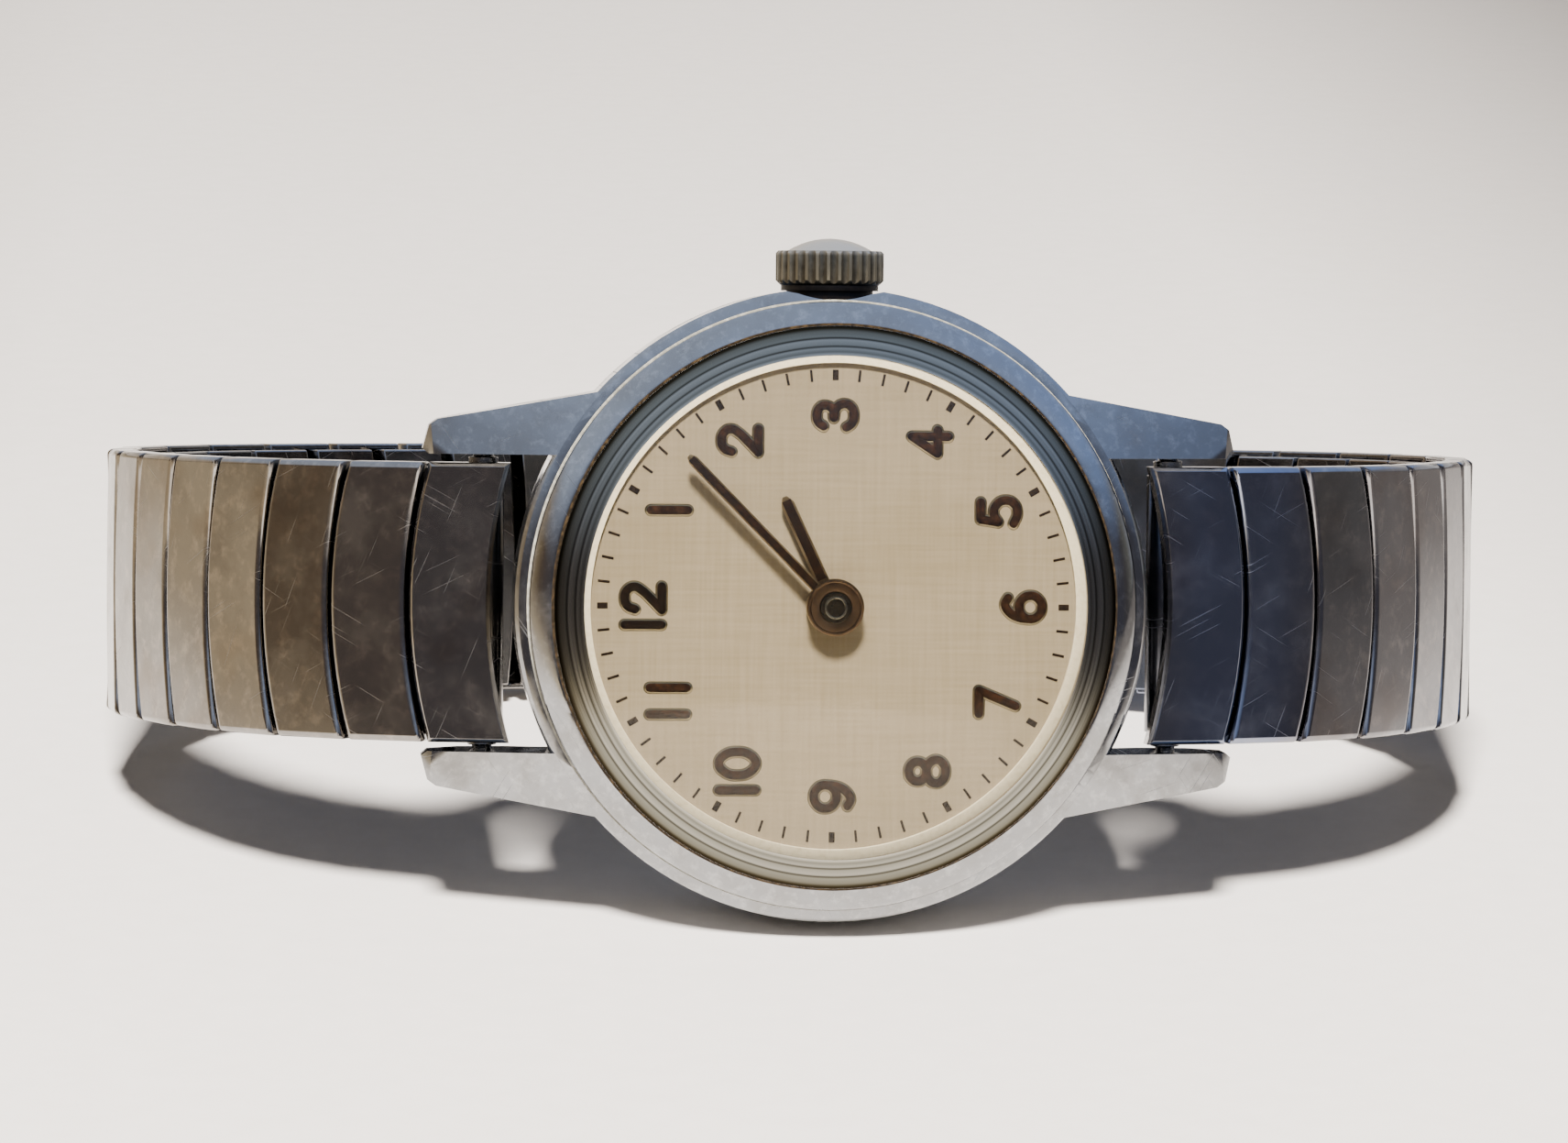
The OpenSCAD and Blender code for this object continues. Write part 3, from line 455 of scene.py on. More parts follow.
@dataclass(frozen=True)
class StripPlate(PolishedPlate):
    """The links' thin plated strip: a duller mirror with brown stains, and a painted blue reflection towards the
    right.
    """

    stain: str = "#6d5a43"
    stain_mm: float = 6.0
    stain_from: float = 0.54
    stain_full: float = 0.72
    stain_most: float = 0.7
    blue: str = "#7d8dac"
    blue_from_mm: float = 12.0
    blue_to_mm: float = 26.0
    blue_most: Stops = (
        (0.0, "#000000"), (0.22, "#c4c4c4"), (0.45, "#c4c4c4"), (0.6, "#707070"), (1.0, "#707070"))

    def face(self, tree: Tree, place: Socket) -> Node:
        """Give coordinates that follow the bracelet."""
        return round_loop(tree, place)

    def tint(self, tree: Tree, place: Socket, cloud: Node) -> Node:
        """Lay brown stains over the filmed plate, then the painted blue reflection on the right.

        Args:
            tree: The material's node tree.
            place: Coordinates in the frame.
            cloud: The noise that the film is drawn from.

        Returns:
            The node that gives the colour.
        """
        plate = super().tint(tree, place, cloud)
        spread = add_node(tree, "ShaderNodeTexNoise", {"noise_dimensions": "4D", "Vector": place, "W": 3.0,
                                                       "Scale": per_mm(self.stain_mm), "Detail": 3.0})
        stained = add_node(tree, "ShaderNodeMapRange", {"Value": spread, "From Min": self.stain_from,
                                                        "From Max": self.stain_full,
                                                        "To Max": self.stain_most})
        browned = add_node(tree, "ShaderNodeMix", {"data_type": "RGBA", 0: stained, 6: plate,
                                                   7: linear(self.stain)})
        # Painted reflection: the links on the right are tinted blue for the blue room they mirror.
        side = add_node(tree, "ShaderNodeSeparateXYZ", {0: place}).outputs["X"]
        share = add_node(tree, "ShaderNodeMapRange", {"Value": side, "From Min": self.blue_from_mm * MM,
                                                      "From Max": self.blue_to_mm * MM})
        most = add_node(tree, "ShaderNodeValToRGB", {"stops": self.blue_most, "Fac": share})
        return add_node(tree, "ShaderNodeMix", {"data_type": "RGBA", 0: most, 6: browned,
                                                7: linear(self.blue)})


@dataclass(frozen=True)
class TurnedSteel(Finish):
    """Stainless steel faced on a lathe: a dull sheen with fine rings round the back's middle."""

    colour: str = "#a5a6a6"
    # A lathe leaves finer rings than the render can show, so these are drawn coarser.
    ring_mm: float = 0.09
    gloss_least: float = 0.2
    gloss_most: float = 0.4

    def paint(self, tree: Tree, shader: Node, place: Socket) -> None:
        """Draw rings by the distance from the hands' axis.

        Args:
            tree: The material's node tree.
            shader: Its Principled shader.
            place: Coordinates in the frame.
        """
        _, lines = turned_lines(tree, place, self.ring_mm, 2.0)
        rough = add_node(tree, "ShaderNodeMapRange", {"Value": lines, "To Min": self.gloss_least,
                                                      "To Max": self.gloss_most})
        relief = add_node(tree, "ShaderNodeBump", {"Height": lines, "Strength": 0.15, "Distance": 0.01 * MM})
        feed(tree, shader, {"Base Color": linear(self.colour), "Metallic": 1.0, "Roughness": rough,
                            "Normal": relief})


@dataclass(frozen=True)
class MachinedMetal(Finish):
    """A small turned or stamped metal part: even colour, a fine tool grain and faint tarnish."""

    colour: str = "#b08d4f"
    tarnish: str = "#7a5f34"
    tarnish_from: float = 0.4
    tarnish_full: float = 0.8
    gloss: float = 0.3
    gloss_less: float = 0.08
    gloss_more: float = 0.12
    # Real tool grain is too fine to show, so it is drawn as coarse as it needs to be.
    grain_mm: float = 0.08
    cloud_grains: float = 18

    def paint(self, tree: Tree, shader: Node, place: Socket) -> None:
        """Draw the grain and the tarnish as two sizes of noise.

        Args:
            tree: The material's node tree.
            shader: Its Principled shader.
            place: Coordinates in the frame.
        """
        grain = add_node(tree, "ShaderNodeTexNoise", {"Vector": place, "Scale": per_mm(self.grain_mm),
                                                      "Detail": 3.0})
        cloud_mm = self.grain_mm * self.cloud_grains
        cloud = add_node(tree, "ShaderNodeTexNoise", {"Vector": place, "Scale": per_mm(cloud_mm),
                                                      "Detail": 4.0})
        veil = add_node(tree, "ShaderNodeMapRange", {"Value": cloud, "From Min": self.tarnish_from,
                                                     "From Max": self.tarnish_full})
        tint = add_node(tree, "ShaderNodeMix", {"data_type": "RGBA", 0: veil, 6: linear(self.colour),
                                                7: linear(self.tarnish)})
        rough = add_node(tree, "ShaderNodeMapRange", {"Value": grain, "To Min": self.gloss - self.gloss_less,
                                                      "To Max": self.gloss + self.gloss_more})
        feed(tree, shader, {"Base Color": tint, "Metallic": 1.0, "Roughness": rough})


@dataclass(frozen=True)
class FlutedBrass(Finish):
    """Plated brass worn through on the crown's ridges, with dark grime in the grooves and round the rim."""

    ridge: str = "#6f6b5e"
    groove: str = "#15110d"
    cap: str = "#c0b8a8"
    edge_mm: float = 0.2
    edge_most: float = 0.8
    ridge_r_mm: float = 2.24
    groove_r_mm: float = 1.99
    grime_mm: float = 0.08
    cap_r_mm: float = 1.74
    cap_fade_mm: float = 0.1
    grit_mm: float = 0.35
    shake_mm: float = 0.12
    gloss_least: float = 0.22
    gloss_most: float = 0.5

    def paint(self, tree: Tree, shader: Node, place: Socket) -> None:
        """Draw the grime by the distance from the stem's axis.

        Args:
            tree: The material's node tree.
            shader: Its Principled shader.
            place: Coordinates in the frame.
        """
        away, along = by_stem(tree, place)
        fluted = [c for c in AXES.local("crown") if AXES.off_stem(c) > self.groove_r_mm * MM]
        shoulder = max(c.x for c in fluted)
        grit = add_node(tree, "ShaderNodeTexNoise", {"Vector": place, "Scale": per_mm(self.grit_mm),
                                                     "Detail": 5.0})
        shaken = add_node(tree, "ShaderNodeMath", {"operation": "MULTIPLY_ADD", 0: grit,
                                                   1: self.shake_mm * MM, 2: away})
        worn = add_node(tree, "ShaderNodeMapRange", {"Value": shaken, "From Max": self.ridge_r_mm * MM,
                                                     "From Min": (self.groove_r_mm + self.grime_mm) * MM})
        skirt = add_node(tree, "ShaderNodeMix", {"data_type": "RGBA", 0: worn, 6: linear(self.groove),
                                                 7: linear(self.ridge)})
        rubbed = add_node(tree, "ShaderNodeMapRange", {"Value": along, "From Max": shoulder,
                                                       "From Min": shoulder - self.edge_mm * MM,
                                                       "To Max": self.edge_most})
        edged = add_node(tree, "ShaderNodeMath", {"operation": "MULTIPLY", 0: rubbed, 1: worn})
        tips = add_node(tree, "ShaderNodeMix", {"data_type": "RGBA", 0: edged, 6: skirt, 7: linear(self.cap)})
        inside = add_node(tree, "ShaderNodeMapRange", {"Value": away, "From Max": self.cap_r_mm * MM,
                                                       "From Min": (self.cap_r_mm + self.cap_fade_mm) * MM})
        tint = add_node(tree, "ShaderNodeMix", {"data_type": "RGBA", 0: inside, 6: tips, 7: linear(self.cap)})
        rough = add_node(tree, "ShaderNodeMapRange", {"Value": grit, "To Min": self.gloss_least,
                                                      "To Max": self.gloss_most})
        relief = add_node(tree, "ShaderNodeBump", {"Height": grit, "Strength": 0.2, "Distance": 0.03 * MM})
        feed(tree, shader, {"Base Color": tint, "Metallic": 0.9, "Roughness": rough, "Normal": relief})


@dataclass(frozen=True)
class LinenDial(Finish):
    """Silvered dial stamped with a linen weave under yellowed lacquer: crossing threads, aged blotches."""

    light: str = "#90877a"
    dark: str = "#7f7665"
    age: str = "#756a55"
    age_from: float = 0.5
    age_full: float = 0.8
    age_most: float = 0.35
    thread_mm: float = 0.11
    stretch: float = 0.035
    blotch_mm: float = 5.0

    def paint(self, tree: Tree, shader: Node, place: Socket) -> None:
        """Draw two sets of long threads across each other, and the blotches over them.

        Args:
            tree: The material's node tree.
            shader: Its Principled shader.
            place: Coordinates in the frame.
        """
        own = add_node(tree, "ShaderNodeMapping", {"Vector": place, **AXES.mapping()})
        threads = []
        for scale in ((self.stretch, 1.0, 1.0), (1.0, self.stretch, 1.0)):
            along = add_node(tree, "ShaderNodeMapping", {"Vector": own, "Scale": scale})
            threads.append(add_node(tree, "ShaderNodeTexNoise", {"Vector": along, "Detail": 2.0,
                                                                 "Scale": per_mm(self.thread_mm)}))
        weave = add_node(tree, "ShaderNodeMath", {"operation": "ADD", 0: threads[0], 1: threads[1]})
        shade = add_node(tree, "ShaderNodeMapRange", {"Value": weave, "From Min": 0.5, "From Max": 1.5})
        cloth = add_node(tree, "ShaderNodeMix", {"data_type": "RGBA", 0: shade, 6: linear(self.dark),
                                                 7: linear(self.light)})
        cloud = add_node(tree, "ShaderNodeTexNoise", {"Vector": place, "Scale": per_mm(self.blotch_mm),
                                                      "Detail": 5.0})
        old = add_node(tree, "ShaderNodeMapRange", {"Value": cloud, "From Min": self.age_from,
                                                    "From Max": self.age_full, "To Max": self.age_most})
        tint = add_node(tree, "ShaderNodeMix", {"data_type": "RGBA", 0: old, 6: cloth, 7: linear(self.age)})
        relief = add_node(tree, "ShaderNodeBump", {"Height": weave, "Strength": 0.15, "Distance": 0.015 * MM})
        feed(tree, shader, {"Base Color": tint, "Metallic": 0.1, "Roughness": 0.45, "Normal": relief})


@dataclass(frozen=True)
class AgedPaint(Finish):
    """Old paint on stamped metal: dark, half matt and mottled where it has browned and flaked."""

    colour: str = "#170e0a"
    worn: str = "#3d291e"
    worn_from: float = 0.45
    worn_full: float = 0.72
    worn_most: float = 0.6
    gloss: float = 0.55
    gloss_less: float = 0.15
    gloss_more: float = 0.25
    sheen: float = 0.2
    mottle_mm: float = 0.22

    def paint(self, tree: Tree, shader: Node, place: Socket) -> None:
        """Draw the browning as a mottle in colour, gloss and relief.

        Args:
            tree: The material's node tree.
            shader: Its Principled shader.
            place: Coordinates in the frame.
        """
        mottle = add_node(tree, "ShaderNodeTexNoise", {"Vector": place, "Scale": per_mm(self.mottle_mm),
                                                       "Detail": 5.0})
        bare = add_node(tree, "ShaderNodeMapRange", {"Value": mottle, "From Min": self.worn_from,
                                                     "From Max": self.worn_full, "To Max": self.worn_most})
        tint = add_node(tree, "ShaderNodeMix", {"data_type": "RGBA", 0: bare, 6: linear(self.colour),
                                                7: linear(self.worn)})
        rough = add_node(tree, "ShaderNodeMapRange", {"Value": mottle, "To Min": self.gloss - self.gloss_less,
                                                      "To Max": self.gloss + self.gloss_more})
        relief = add_node(tree, "ShaderNodeBump", {"Height": mottle, "Strength": 0.3, "Distance": 0.02 * MM})
        feed(tree, shader, {"Base Color": tint, "Roughness": rough, "Normal": relief,
                            "Specular IOR Level": self.sheen})


@dataclass(frozen=True)
class ClearAcrylic(Finish):
    """Moulded acrylic crystal: clear, faintly yellow, with light scuffs. Lamps reach the dial through it."""

    colour: str = "#e6dfcb"
    # Lower than acrylic's 1.49, so that the floor's reflection doesn't veil the dial.
    ior: float = 1.25
    # Real scuffs are too fine to show, so these are drawn as coarse as they need to be.
    scuff_mm: float = 0.1
    scuff_most: float = 0.86
    scuff_gloss: float = 0.06

    def paint(self, tree: Tree, shader: Node, place: Socket) -> None:
        """Set clear plastic, scuffed in its gloss, and let shadow rays pass.

        Args:
            tree: The material's node tree.
            shader: Its Principled shader.
            place: Coordinates in the frame.
        """
        scratch = hairlines(tree, over_face(tree, place), self.scuff_mm, self.scuff_most)
        rough = add_node(tree, "ShaderNodeMapRange", {"Value": scratch, "To Max": self.scuff_gloss})
        feed(tree, shader, {"Base Color": linear(self.colour), "Transmission Weight": 1.0, "IOR": self.ior,
                            "Roughness": rough})
        shadow = add_node(tree, "ShaderNodeLightPath").outputs["Is Shadow Ray"]
        clear = add_node(tree, "ShaderNodeBsdfTransparent")
        mixed = add_node(tree, "ShaderNodeMixShader", {0: shadow, 1: shader, 2: clear})
        feed(tree, tree.nodes["Material Output"], {"Surface": mixed})


@dataclass(frozen=True)
class MouldedEdge(Finish):
    """Painted reflections for the crystal's thick edge over its seat: fine rings of grey and olive, with a line of
    dirt at the outer edge.
    """

    inner_mm: float = 10.1
    outer_mm: float = 11.3
    groove_mm: float = 0.08
    # Painted reflection: light and dark rings from the inside out; the last brown-black stops are dirt at the
    # edge.
    bands: Stops = (
        (0.0, "#a19f94"), (0.12, "#65645b"), (0.24, "#84837a"), (0.3, "#38362e"), (0.36, "#76756c"),
        (0.52, "#86857c"), (0.58, "#302e26"), (0.64, "#6d6c62"), (0.8, "#605e53"), (0.9, "#2a2519"),
        (1.0, "#120d08"))

    def paint(self, tree: Tree, shader: Node, place: Socket) -> None:
        """Draw the painted reflection bands and grooves by the distance from the hands' axis.

        Args:
            tree: The material's node tree.
            shader: Its Principled shader.
            place: Coordinates in the frame.
        """
        away, groove = turned_lines(tree, place, self.groove_mm, 1.0)
        share = add_node(tree, "ShaderNodeMapRange", {"Value": away, "From Min": self.inner_mm * MM,
                                                      "From Max": self.outer_mm * MM})
        bands = add_node(tree, "ShaderNodeValToRGB", {"stops": self.bands, "Fac": share})
        relief = add_node(tree, "ShaderNodeBump", {"Height": groove, "Strength": 0.15, "Distance": 0.02 * MM})
        feed(tree, shader, {"Base Color": bands, "Metallic": 1.0, "Roughness": 0.16, "Normal": relief})


@dataclass(frozen=True)
class BlackRubber(Finish):
    """Moulded black rubber: matt, nearly black, with a dusty bloom."""

    colour: str = "#191817"
    bloom: str = "#34322f"
    bloom_mm: float = 0.6

    def paint(self, tree: Tree, shader: Node, place: Socket) -> None:
        """Draw the bloom as fine clouds.

        Args:
            tree: The material's node tree.
            shader: Its Principled shader.
            place: Coordinates in the frame.
        """
        cloud = add_node(tree, "ShaderNodeTexNoise", {"Vector": place, "Scale": per_mm(self.bloom_mm),
                                                      "Detail": 4.0})
        tint = add_node(tree, "ShaderNodeMix", {"data_type": "RGBA", 0: cloud, 6: linear(self.colour),
                                                7: linear(self.bloom)})
        feed(tree, shader, {"Base Color": tint, "Roughness": 0.8})


@dataclass(frozen=True)
class PaleFloor(Finish):
    """Plain pale paper sweep: matt, with a trace of fibre, and painted shade towards both sides."""

    colour: str = "#ebe7e4"
    fibre: str = "#e2deda"
    fibre_mm: float = 1.5
    left: str = "#978b76"
    right: str = "#6a6664"
    pale_mm: float = 36.0
    fade_mm: float = 60.0

    def paint(self, tree: Tree, shader: Node, place: Socket) -> None:
        """Draw the fibre as a faint fine cloud, and paint the shade where the light falls off to both sides.

        Args:
            tree: The material's node tree.
            shader: Its Principled shader.
            place: Coordinates in the frame.
        """
        cloud = add_node(tree, "ShaderNodeTexNoise", {"Vector": place, "Scale": per_mm(self.fibre_mm),
                                                      "Detail": 3.0})
        mixed = add_node(tree, "ShaderNodeMix", {"data_type": "RGBA", 0: cloud, 6: linear(self.colour),
                                                 7: linear(self.fibre)})
        across = add_node(tree, "ShaderNodeSeparateXYZ", {0: place}).outputs["X"]
        # Painted shade: the floor darkens to both sides, which also darkens what the links mirror.
        for side, colour in ((-1, self.left), (1, self.right)):
            near = side * self.pale_mm * MM
            far = side * (self.pale_mm + self.fade_mm) * MM
            fade = add_node(tree, "ShaderNodeMapRange", {"Value": across, "From Min": near, "From Max": far})
            mixed = add_node(tree, "ShaderNodeMix", {"data_type": "RGBA", 0: fade, 6: mixed,
                                                     7: linear(colour)})
        feed(tree, shader, {"Base Color": mixed, "Roughness": 0.95, "Specular IOR Level": 0.2})


# Chrome plate, buffed: a clear dark mirror, dimmed by a film and crossed by hairlines.
CHROME = PolishedPlate("polished_chrome_plate")
# The same plate on the case: a mirror that ends in black painted shade under the crown.
CASE = CasePlate("polished_case_plate")
# Thin plated strip, rolled and buffed: a softer mirror, stained brown and rubbed pale, with a painted blue
# reflection on the right.
STRIP = StripPlate("worn_plated_strip", colour="#8b8986", film="#69645d", gloss=0.1, haze=0.14, scuffed=0.28,
                   scratch_mm=0.07, film_mm=3.0, film_most=0.6, pale="#b1aaa2", pale_mm=0.7, pale_most=0.5)
# Stainless steel, faced on a lathe: a dull sheen in fine rings.
BACK = TurnedSteel("turned_stainless_steel")
# Plated brass, milled and worn: bright tips over dark grooves.
CROWN = FlutedBrass("worn_plated_brass")
# Silvered brass, stamped and lacquered: a pale weave, yellowed in blotches.
DIAL = LinenDial("linen_stamped_silver")
# Enamel on stamped relief: dark and half matt, browned where it is thin.
NUMERAL = AgedPaint("browned_numeral_paint")
# The same enamel where it has kept its black.
TWELVE = AgedPaint("black_numeral_paint", colour="#0d0908", worn="#2e2019", worn_most=0.3)
# Printing ink: thin, black and matt.
MARK = AgedPaint("printed_black_ink", colour="#171210", worn="#3a2f28", worn_most=0.3, gloss=0.6)
# Gilt brass, stamped: a pale warm edge, dulled in spots.
HAND_EDGE = MachinedMetal("gilt_hand_edge", colour="#b7a78c", tarnish="#6d5a44", grain_mm=0.1)
# Enamel in the hands' channels: dark brown and half matt.
HAND_PAINT = AgedPaint("browned_hand_paint", colour="#120b08", worn="#2e1e15", worn_most=0.5)
# Copper, turned: a warm dull sheen.
HUB = MachinedMetal("copper_hub_disc", colour="#7c6a5d", tarnish="#4d4036", gloss=0.34, grain_mm=0.07)
# Steel, turned and blackened: dark grey with a small highlight.
BOSS = MachinedMetal("blackened_steel_boss", colour="#55514c", tarnish="#2c2825", gloss=0.28, grain_mm=0.06)
# Packed dirt: brown, matt and crumbly. On the crown's tube it is painted shade in the hollow under the crown.
GRIME_AND_SHADE = AgedPaint("seam_grime_and_painted_shade", colour="#1f1912", worn="#4b3d2a", worn_most=0.8, gloss=0.7)
# Acrylic, moulded and polished: clear, with a faint yellow and light scuffs.
ACRYLIC = ClearAcrylic("clear_acrylic")
# Painted reflections in the crystal's thick edge: thin bright and dark rings on an opaque ring.
EDGE = MouldedEdge("acrylic_edge_painted_reflections")
# Silvered brass, stamped: a pale rim round each numeral.
SILVER = MachinedMetal("silvered_relief", colour="#a8a396", tarnish="#86806f", gloss=0.32, grain_mm=0.1)
# Lacquered silver, turned down at the dial's edge: a pale soft ring, painted pale as a highlight.
RIM_HIGHLIGHT = AgedPaint("dial_rim_painted_highlight", colour="#d6d0c0", worn="#b9b09c", worn_most=0.5, gloss=0.4, sheen=0.5)
# Painted highlight along the bezel's seam: a pale matt line.
SEAM_HIGHLIGHT = AgedPaint("bezel_seam_painted_highlight", colour="#8a887d", worn="#b9b7ac", worn_most=0.8, gloss=0.6)
# Painted shade for the hollow under the crown: black, with hardly any shine.
PAINTED_STEM_SHADE = AgedPaint("black_painted_stem_shade", colour="#060505", worn="#15110e", worn_most=0.4, gloss=0.4)
# Brass, machined: warm yellow with a fine grain.
BRASS = MachinedMetal("machined_brass")
# Steel, machined: grey with a fine grain.
STEEL = MachinedMetal("machined_steel", colour="#9a9b9c", tarnish="#6e6c68", gloss=0.22)
# Nickel plate: a pale warm grey.
NICKEL = MachinedMetal("nickel_plated_ring", colour="#b3b1aa", tarnish="#8b887f")
# Rubber, moulded: black and matt with a dusty bloom.
RUBBER = BlackRubber("moulded_black_rubber")
# Paper: pale and matt with a trace of fibre, darkened to both sides by painted shade.
FLOOR = PaleFloor("pale_paper_sweep")

SLOT_FINISH: dict[str, Finish] = {
    "polished_metal": CHROME,
    "back_steel": BACK,
    "acrylic": ACRYLIC,
    "rubber": RUBBER,
    "crown_metal": CROWN,
    "brass": BRASS,
    "nickel_ring": NICKEL,
    "dial_face": DIAL,
    "hand_metal": HAND_EDGE,
    "steel": STEEL,
}


def hand_over(piece: Piece, finish: Finish, body: str) -> None:
    """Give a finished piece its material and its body.

    Args:
        piece: The piece, with its place in its mesh.
        finish: What it is dressed in.
        body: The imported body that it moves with.
    """
    piece.data.materials.clear()
    piece.data.materials.append(finish.material())
    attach(piece, body)
    LOG.info("%s: %d faces on %s", piece.name, len(piece.data.polygons), body)


class Wear(Enum):
    """How far the years have rounded an edge, in millimetres."""

    CRISP = 0.03
    SOFT = 0.06
    ROUND = 0.1


@dataclass(frozen=True)
class WornCopy:
    """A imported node's form with its edges softened by wear, which stands for the node."""

    node: str
    finish: Finish
    wear: Wear
    steps: int = 2
    least_deg: float = 30

    def build(self) -> None:
        """Copy, merge and soften the node's mesh, and let the copy replace the node."""
        source = frame["nodes"][self.node]
        piece = bpy.data.objects.new(f"{self.node}_worn", source.data.copy())
        bpy.context.scene.collection.objects.link(piece)
        activate(piece)
        bpy.ops.mesh.customdata_custom_splitnormals_clear()
        bpy.ops.object.mode_set(mode="EDIT")
        bpy.ops.mesh.select_all(action="SELECT")
        bpy.ops.mesh.remove_doubles(threshold=WELD)
        bpy.ops.mesh.dissolve_limited(angle_limit=math.radians(0.5))
        bpy.ops.object.mode_set(mode="OBJECT")
        round_edges(piece, self.wear.value, self.steps, self.least_deg)
        hand_over(piece, self.finish, BODY_OF[self.node])
        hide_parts(self.node)


def turned_ring(name: str, inner_mm: float, outer_mm: float, low: float, high: float, edge_mm: float,
                fall_mm: float = 0.0, placing: Matrix | None = None) -> Piece:
    """Turn a rectangle round an axis.

    Args:
        name: The piece's name.
        inner_mm: Inner radius.
        outer_mm: Outer radius.
        low: Height of the lower face in metres.
        high: Height of the upper face in metres.
        edge_mm: Rounding of the edges.
        fall_mm: How far the outer side lies below the inner side.
        placing: Where the ring goes; round the hands' axis when left out.

    Returns:
        The ring, set in its place.
    """
    bpy.ops.object.select_all(action="DESELECT")
    bpy.ops.mesh.primitive_plane_add(size=1)
    ring = bpy.context.object
    ring.name = name
    for corner in ring.data.vertices:
        across, fall = (inner_mm, 0.0) if corner.co.x < 0 else (outer_mm, fall_mm)
        corner.co = (across * MM, 0.0, (low if corner.co.y < 0 else high) - fall * MM)
    bpy.ops.object.mode_set(mode="EDIT")
    bpy.ops.mesh.select_all(action="SELECT")
    bpy.ops.mesh.delete(type="ONLY_FACE")
    bpy.ops.mesh.select_all(action="SELECT")
    bpy.ops.mesh.spin(steps=128, angle=2 * math.pi, center=(0.0, 0.0, 0.0), axis=(0.0, 0.0, 1.0))
    bpy.ops.mesh.select_all(action="SELECT")
    bpy.ops.mesh.remove_doubles(threshold=WELD)
    bpy.ops.mesh.normals_make_consistent(inside=False)
    bpy.ops.object.mode_set(mode="OBJECT")
    round_edges(ring, edge_mm, 3)
    ring.data.transform(AXES.placing() if placing is None else placing)
    return ring


def rounded_bar(name: str, length_mm: float, width_mm: float, height_mm: float, edge_mm: float) -> Piece:
    """Make a small bar with rounded edges that stands on the XY plane, lengthwise along Y from its middle.

    Args:
        name: The piece's name.
        length_mm: Size along Y.
        width_mm: Size along X.
        height_mm: Size along Z.
        edge_mm: Rounding of its edges.

    Returns:
        The bar, with its middle on the Z axis.
    """
    bpy.ops.object.select_all(action="DESELECT")
    bpy.ops.mesh.primitive_cube_add(size=1)
    bar = bpy.context.object
    bar.name = name
    size = Matrix.Diagonal((width_mm * MM, length_mm * MM, height_mm * MM, 1.0))
    bar.data.transform(size @ Matrix.Translation((0.0, 0.0, 0.5)))
    round_edges(bar, edge_mm)
    return bar


def join(name: str, pieces: list[Piece]) -> Piece:
    """Join pieces into one.

    Args:
        name: The joined piece's name.
        pieces: What is joined.

    Returns:
        The joined piece.
    """
    activate(pieces[0])
    for piece in pieces:
        piece.select_set(True)
    bpy.ops.object.join()
    joined = bpy.context.object
    joined.name = name
    return joined


@dataclass(frozen=True)
class Stroke:
    """One stroke of a numeral: its points in a unit box, and whether it bends and closes."""

    points: tuple[tuple[float, float], ...]
    bends: bool = True
    closed: bool = False


def straight(x0: float, y0: float, x1: float, y1: float) -> Stroke:
    """Give a straight stroke between two points."""
    return Stroke(((x0, y0), (x1, y1)), False)


def oval(x: float, y: float, across: float, up: float) -> Stroke:
    """Give a closed oval stroke through eight points.

    Args:
        x: Its middle across the digit.
        y: Its middle up the digit.
        across: Its half width.
        up: Its half height.

    Returns:
        The stroke.
    """
    turns = [i * math.pi / 4 for i in range(8)]
    return Stroke(tuple((x + across * math.cos(a), y + up * math.sin(a)) for a in turns), True, True)


SIX_STEM = Stroke(((0.9, 0.92), (0.62, 1.0), (0.28, 0.88), (0.06, 0.62), (0.0, 0.34)))
DIGITS: dict[str, tuple[Stroke, ...]] = {
    "0": (oval(0.5, 0.5, 0.5, 0.5),),
    "1": (straight(0.0, 0.0, 0.0, 1.0),),
    "2": (Stroke(((0.02, 0.72), (0.16, 0.92), (0.5, 1.0), (0.86, 0.92), (0.98, 0.73), (0.82, 0.53),
                  (0.44, 0.27), (0.0, 0.0))),
          straight(0.0, 0.0, 1.0, 0.0)),
    "3": (Stroke(((0.04, 0.82), (0.22, 0.96), (0.5, 1.0), (0.84, 0.92), (0.92, 0.75), (0.76, 0.58),
                  (0.4, 0.54))),
          Stroke(((0.4, 0.54), (0.82, 0.47), (1.0, 0.27), (0.86, 0.07), (0.5, 0.0), (0.18, 0.05),
                  (0.0, 0.2)))),
    "4": (straight(0.72, 0.0, 0.72, 1.0), straight(0.72, 1.0, 0.0, 0.3), straight(0.0, 0.3, 1.0, 0.3)),
    "5": (straight(0.92, 1.0, 0.18, 1.0), straight(0.18, 1.0, 0.06, 0.52),
          Stroke(((0.06, 0.52), (0.42, 0.64), (0.82, 0.56), (1.0, 0.32), (0.84, 0.08), (0.45, 0.0),
                  (0.0, 0.1)))),
    "6": (SIX_STEM, oval(0.5, 0.31, 0.5, 0.31)),
    "7": (straight(0.0, 1.0, 1.0, 1.0), straight(1.0, 1.0, 0.34, 0.0)),
    "8": (oval(0.5, 0.76, 0.42, 0.24), oval(0.5, 0.26, 0.5, 0.26)),
    "9": (Stroke(tuple((1.0 - x, 1.0 - y) for x, y in SIX_STEM.points)), oval(0.5, 0.69, 0.5, 0.31)),
}


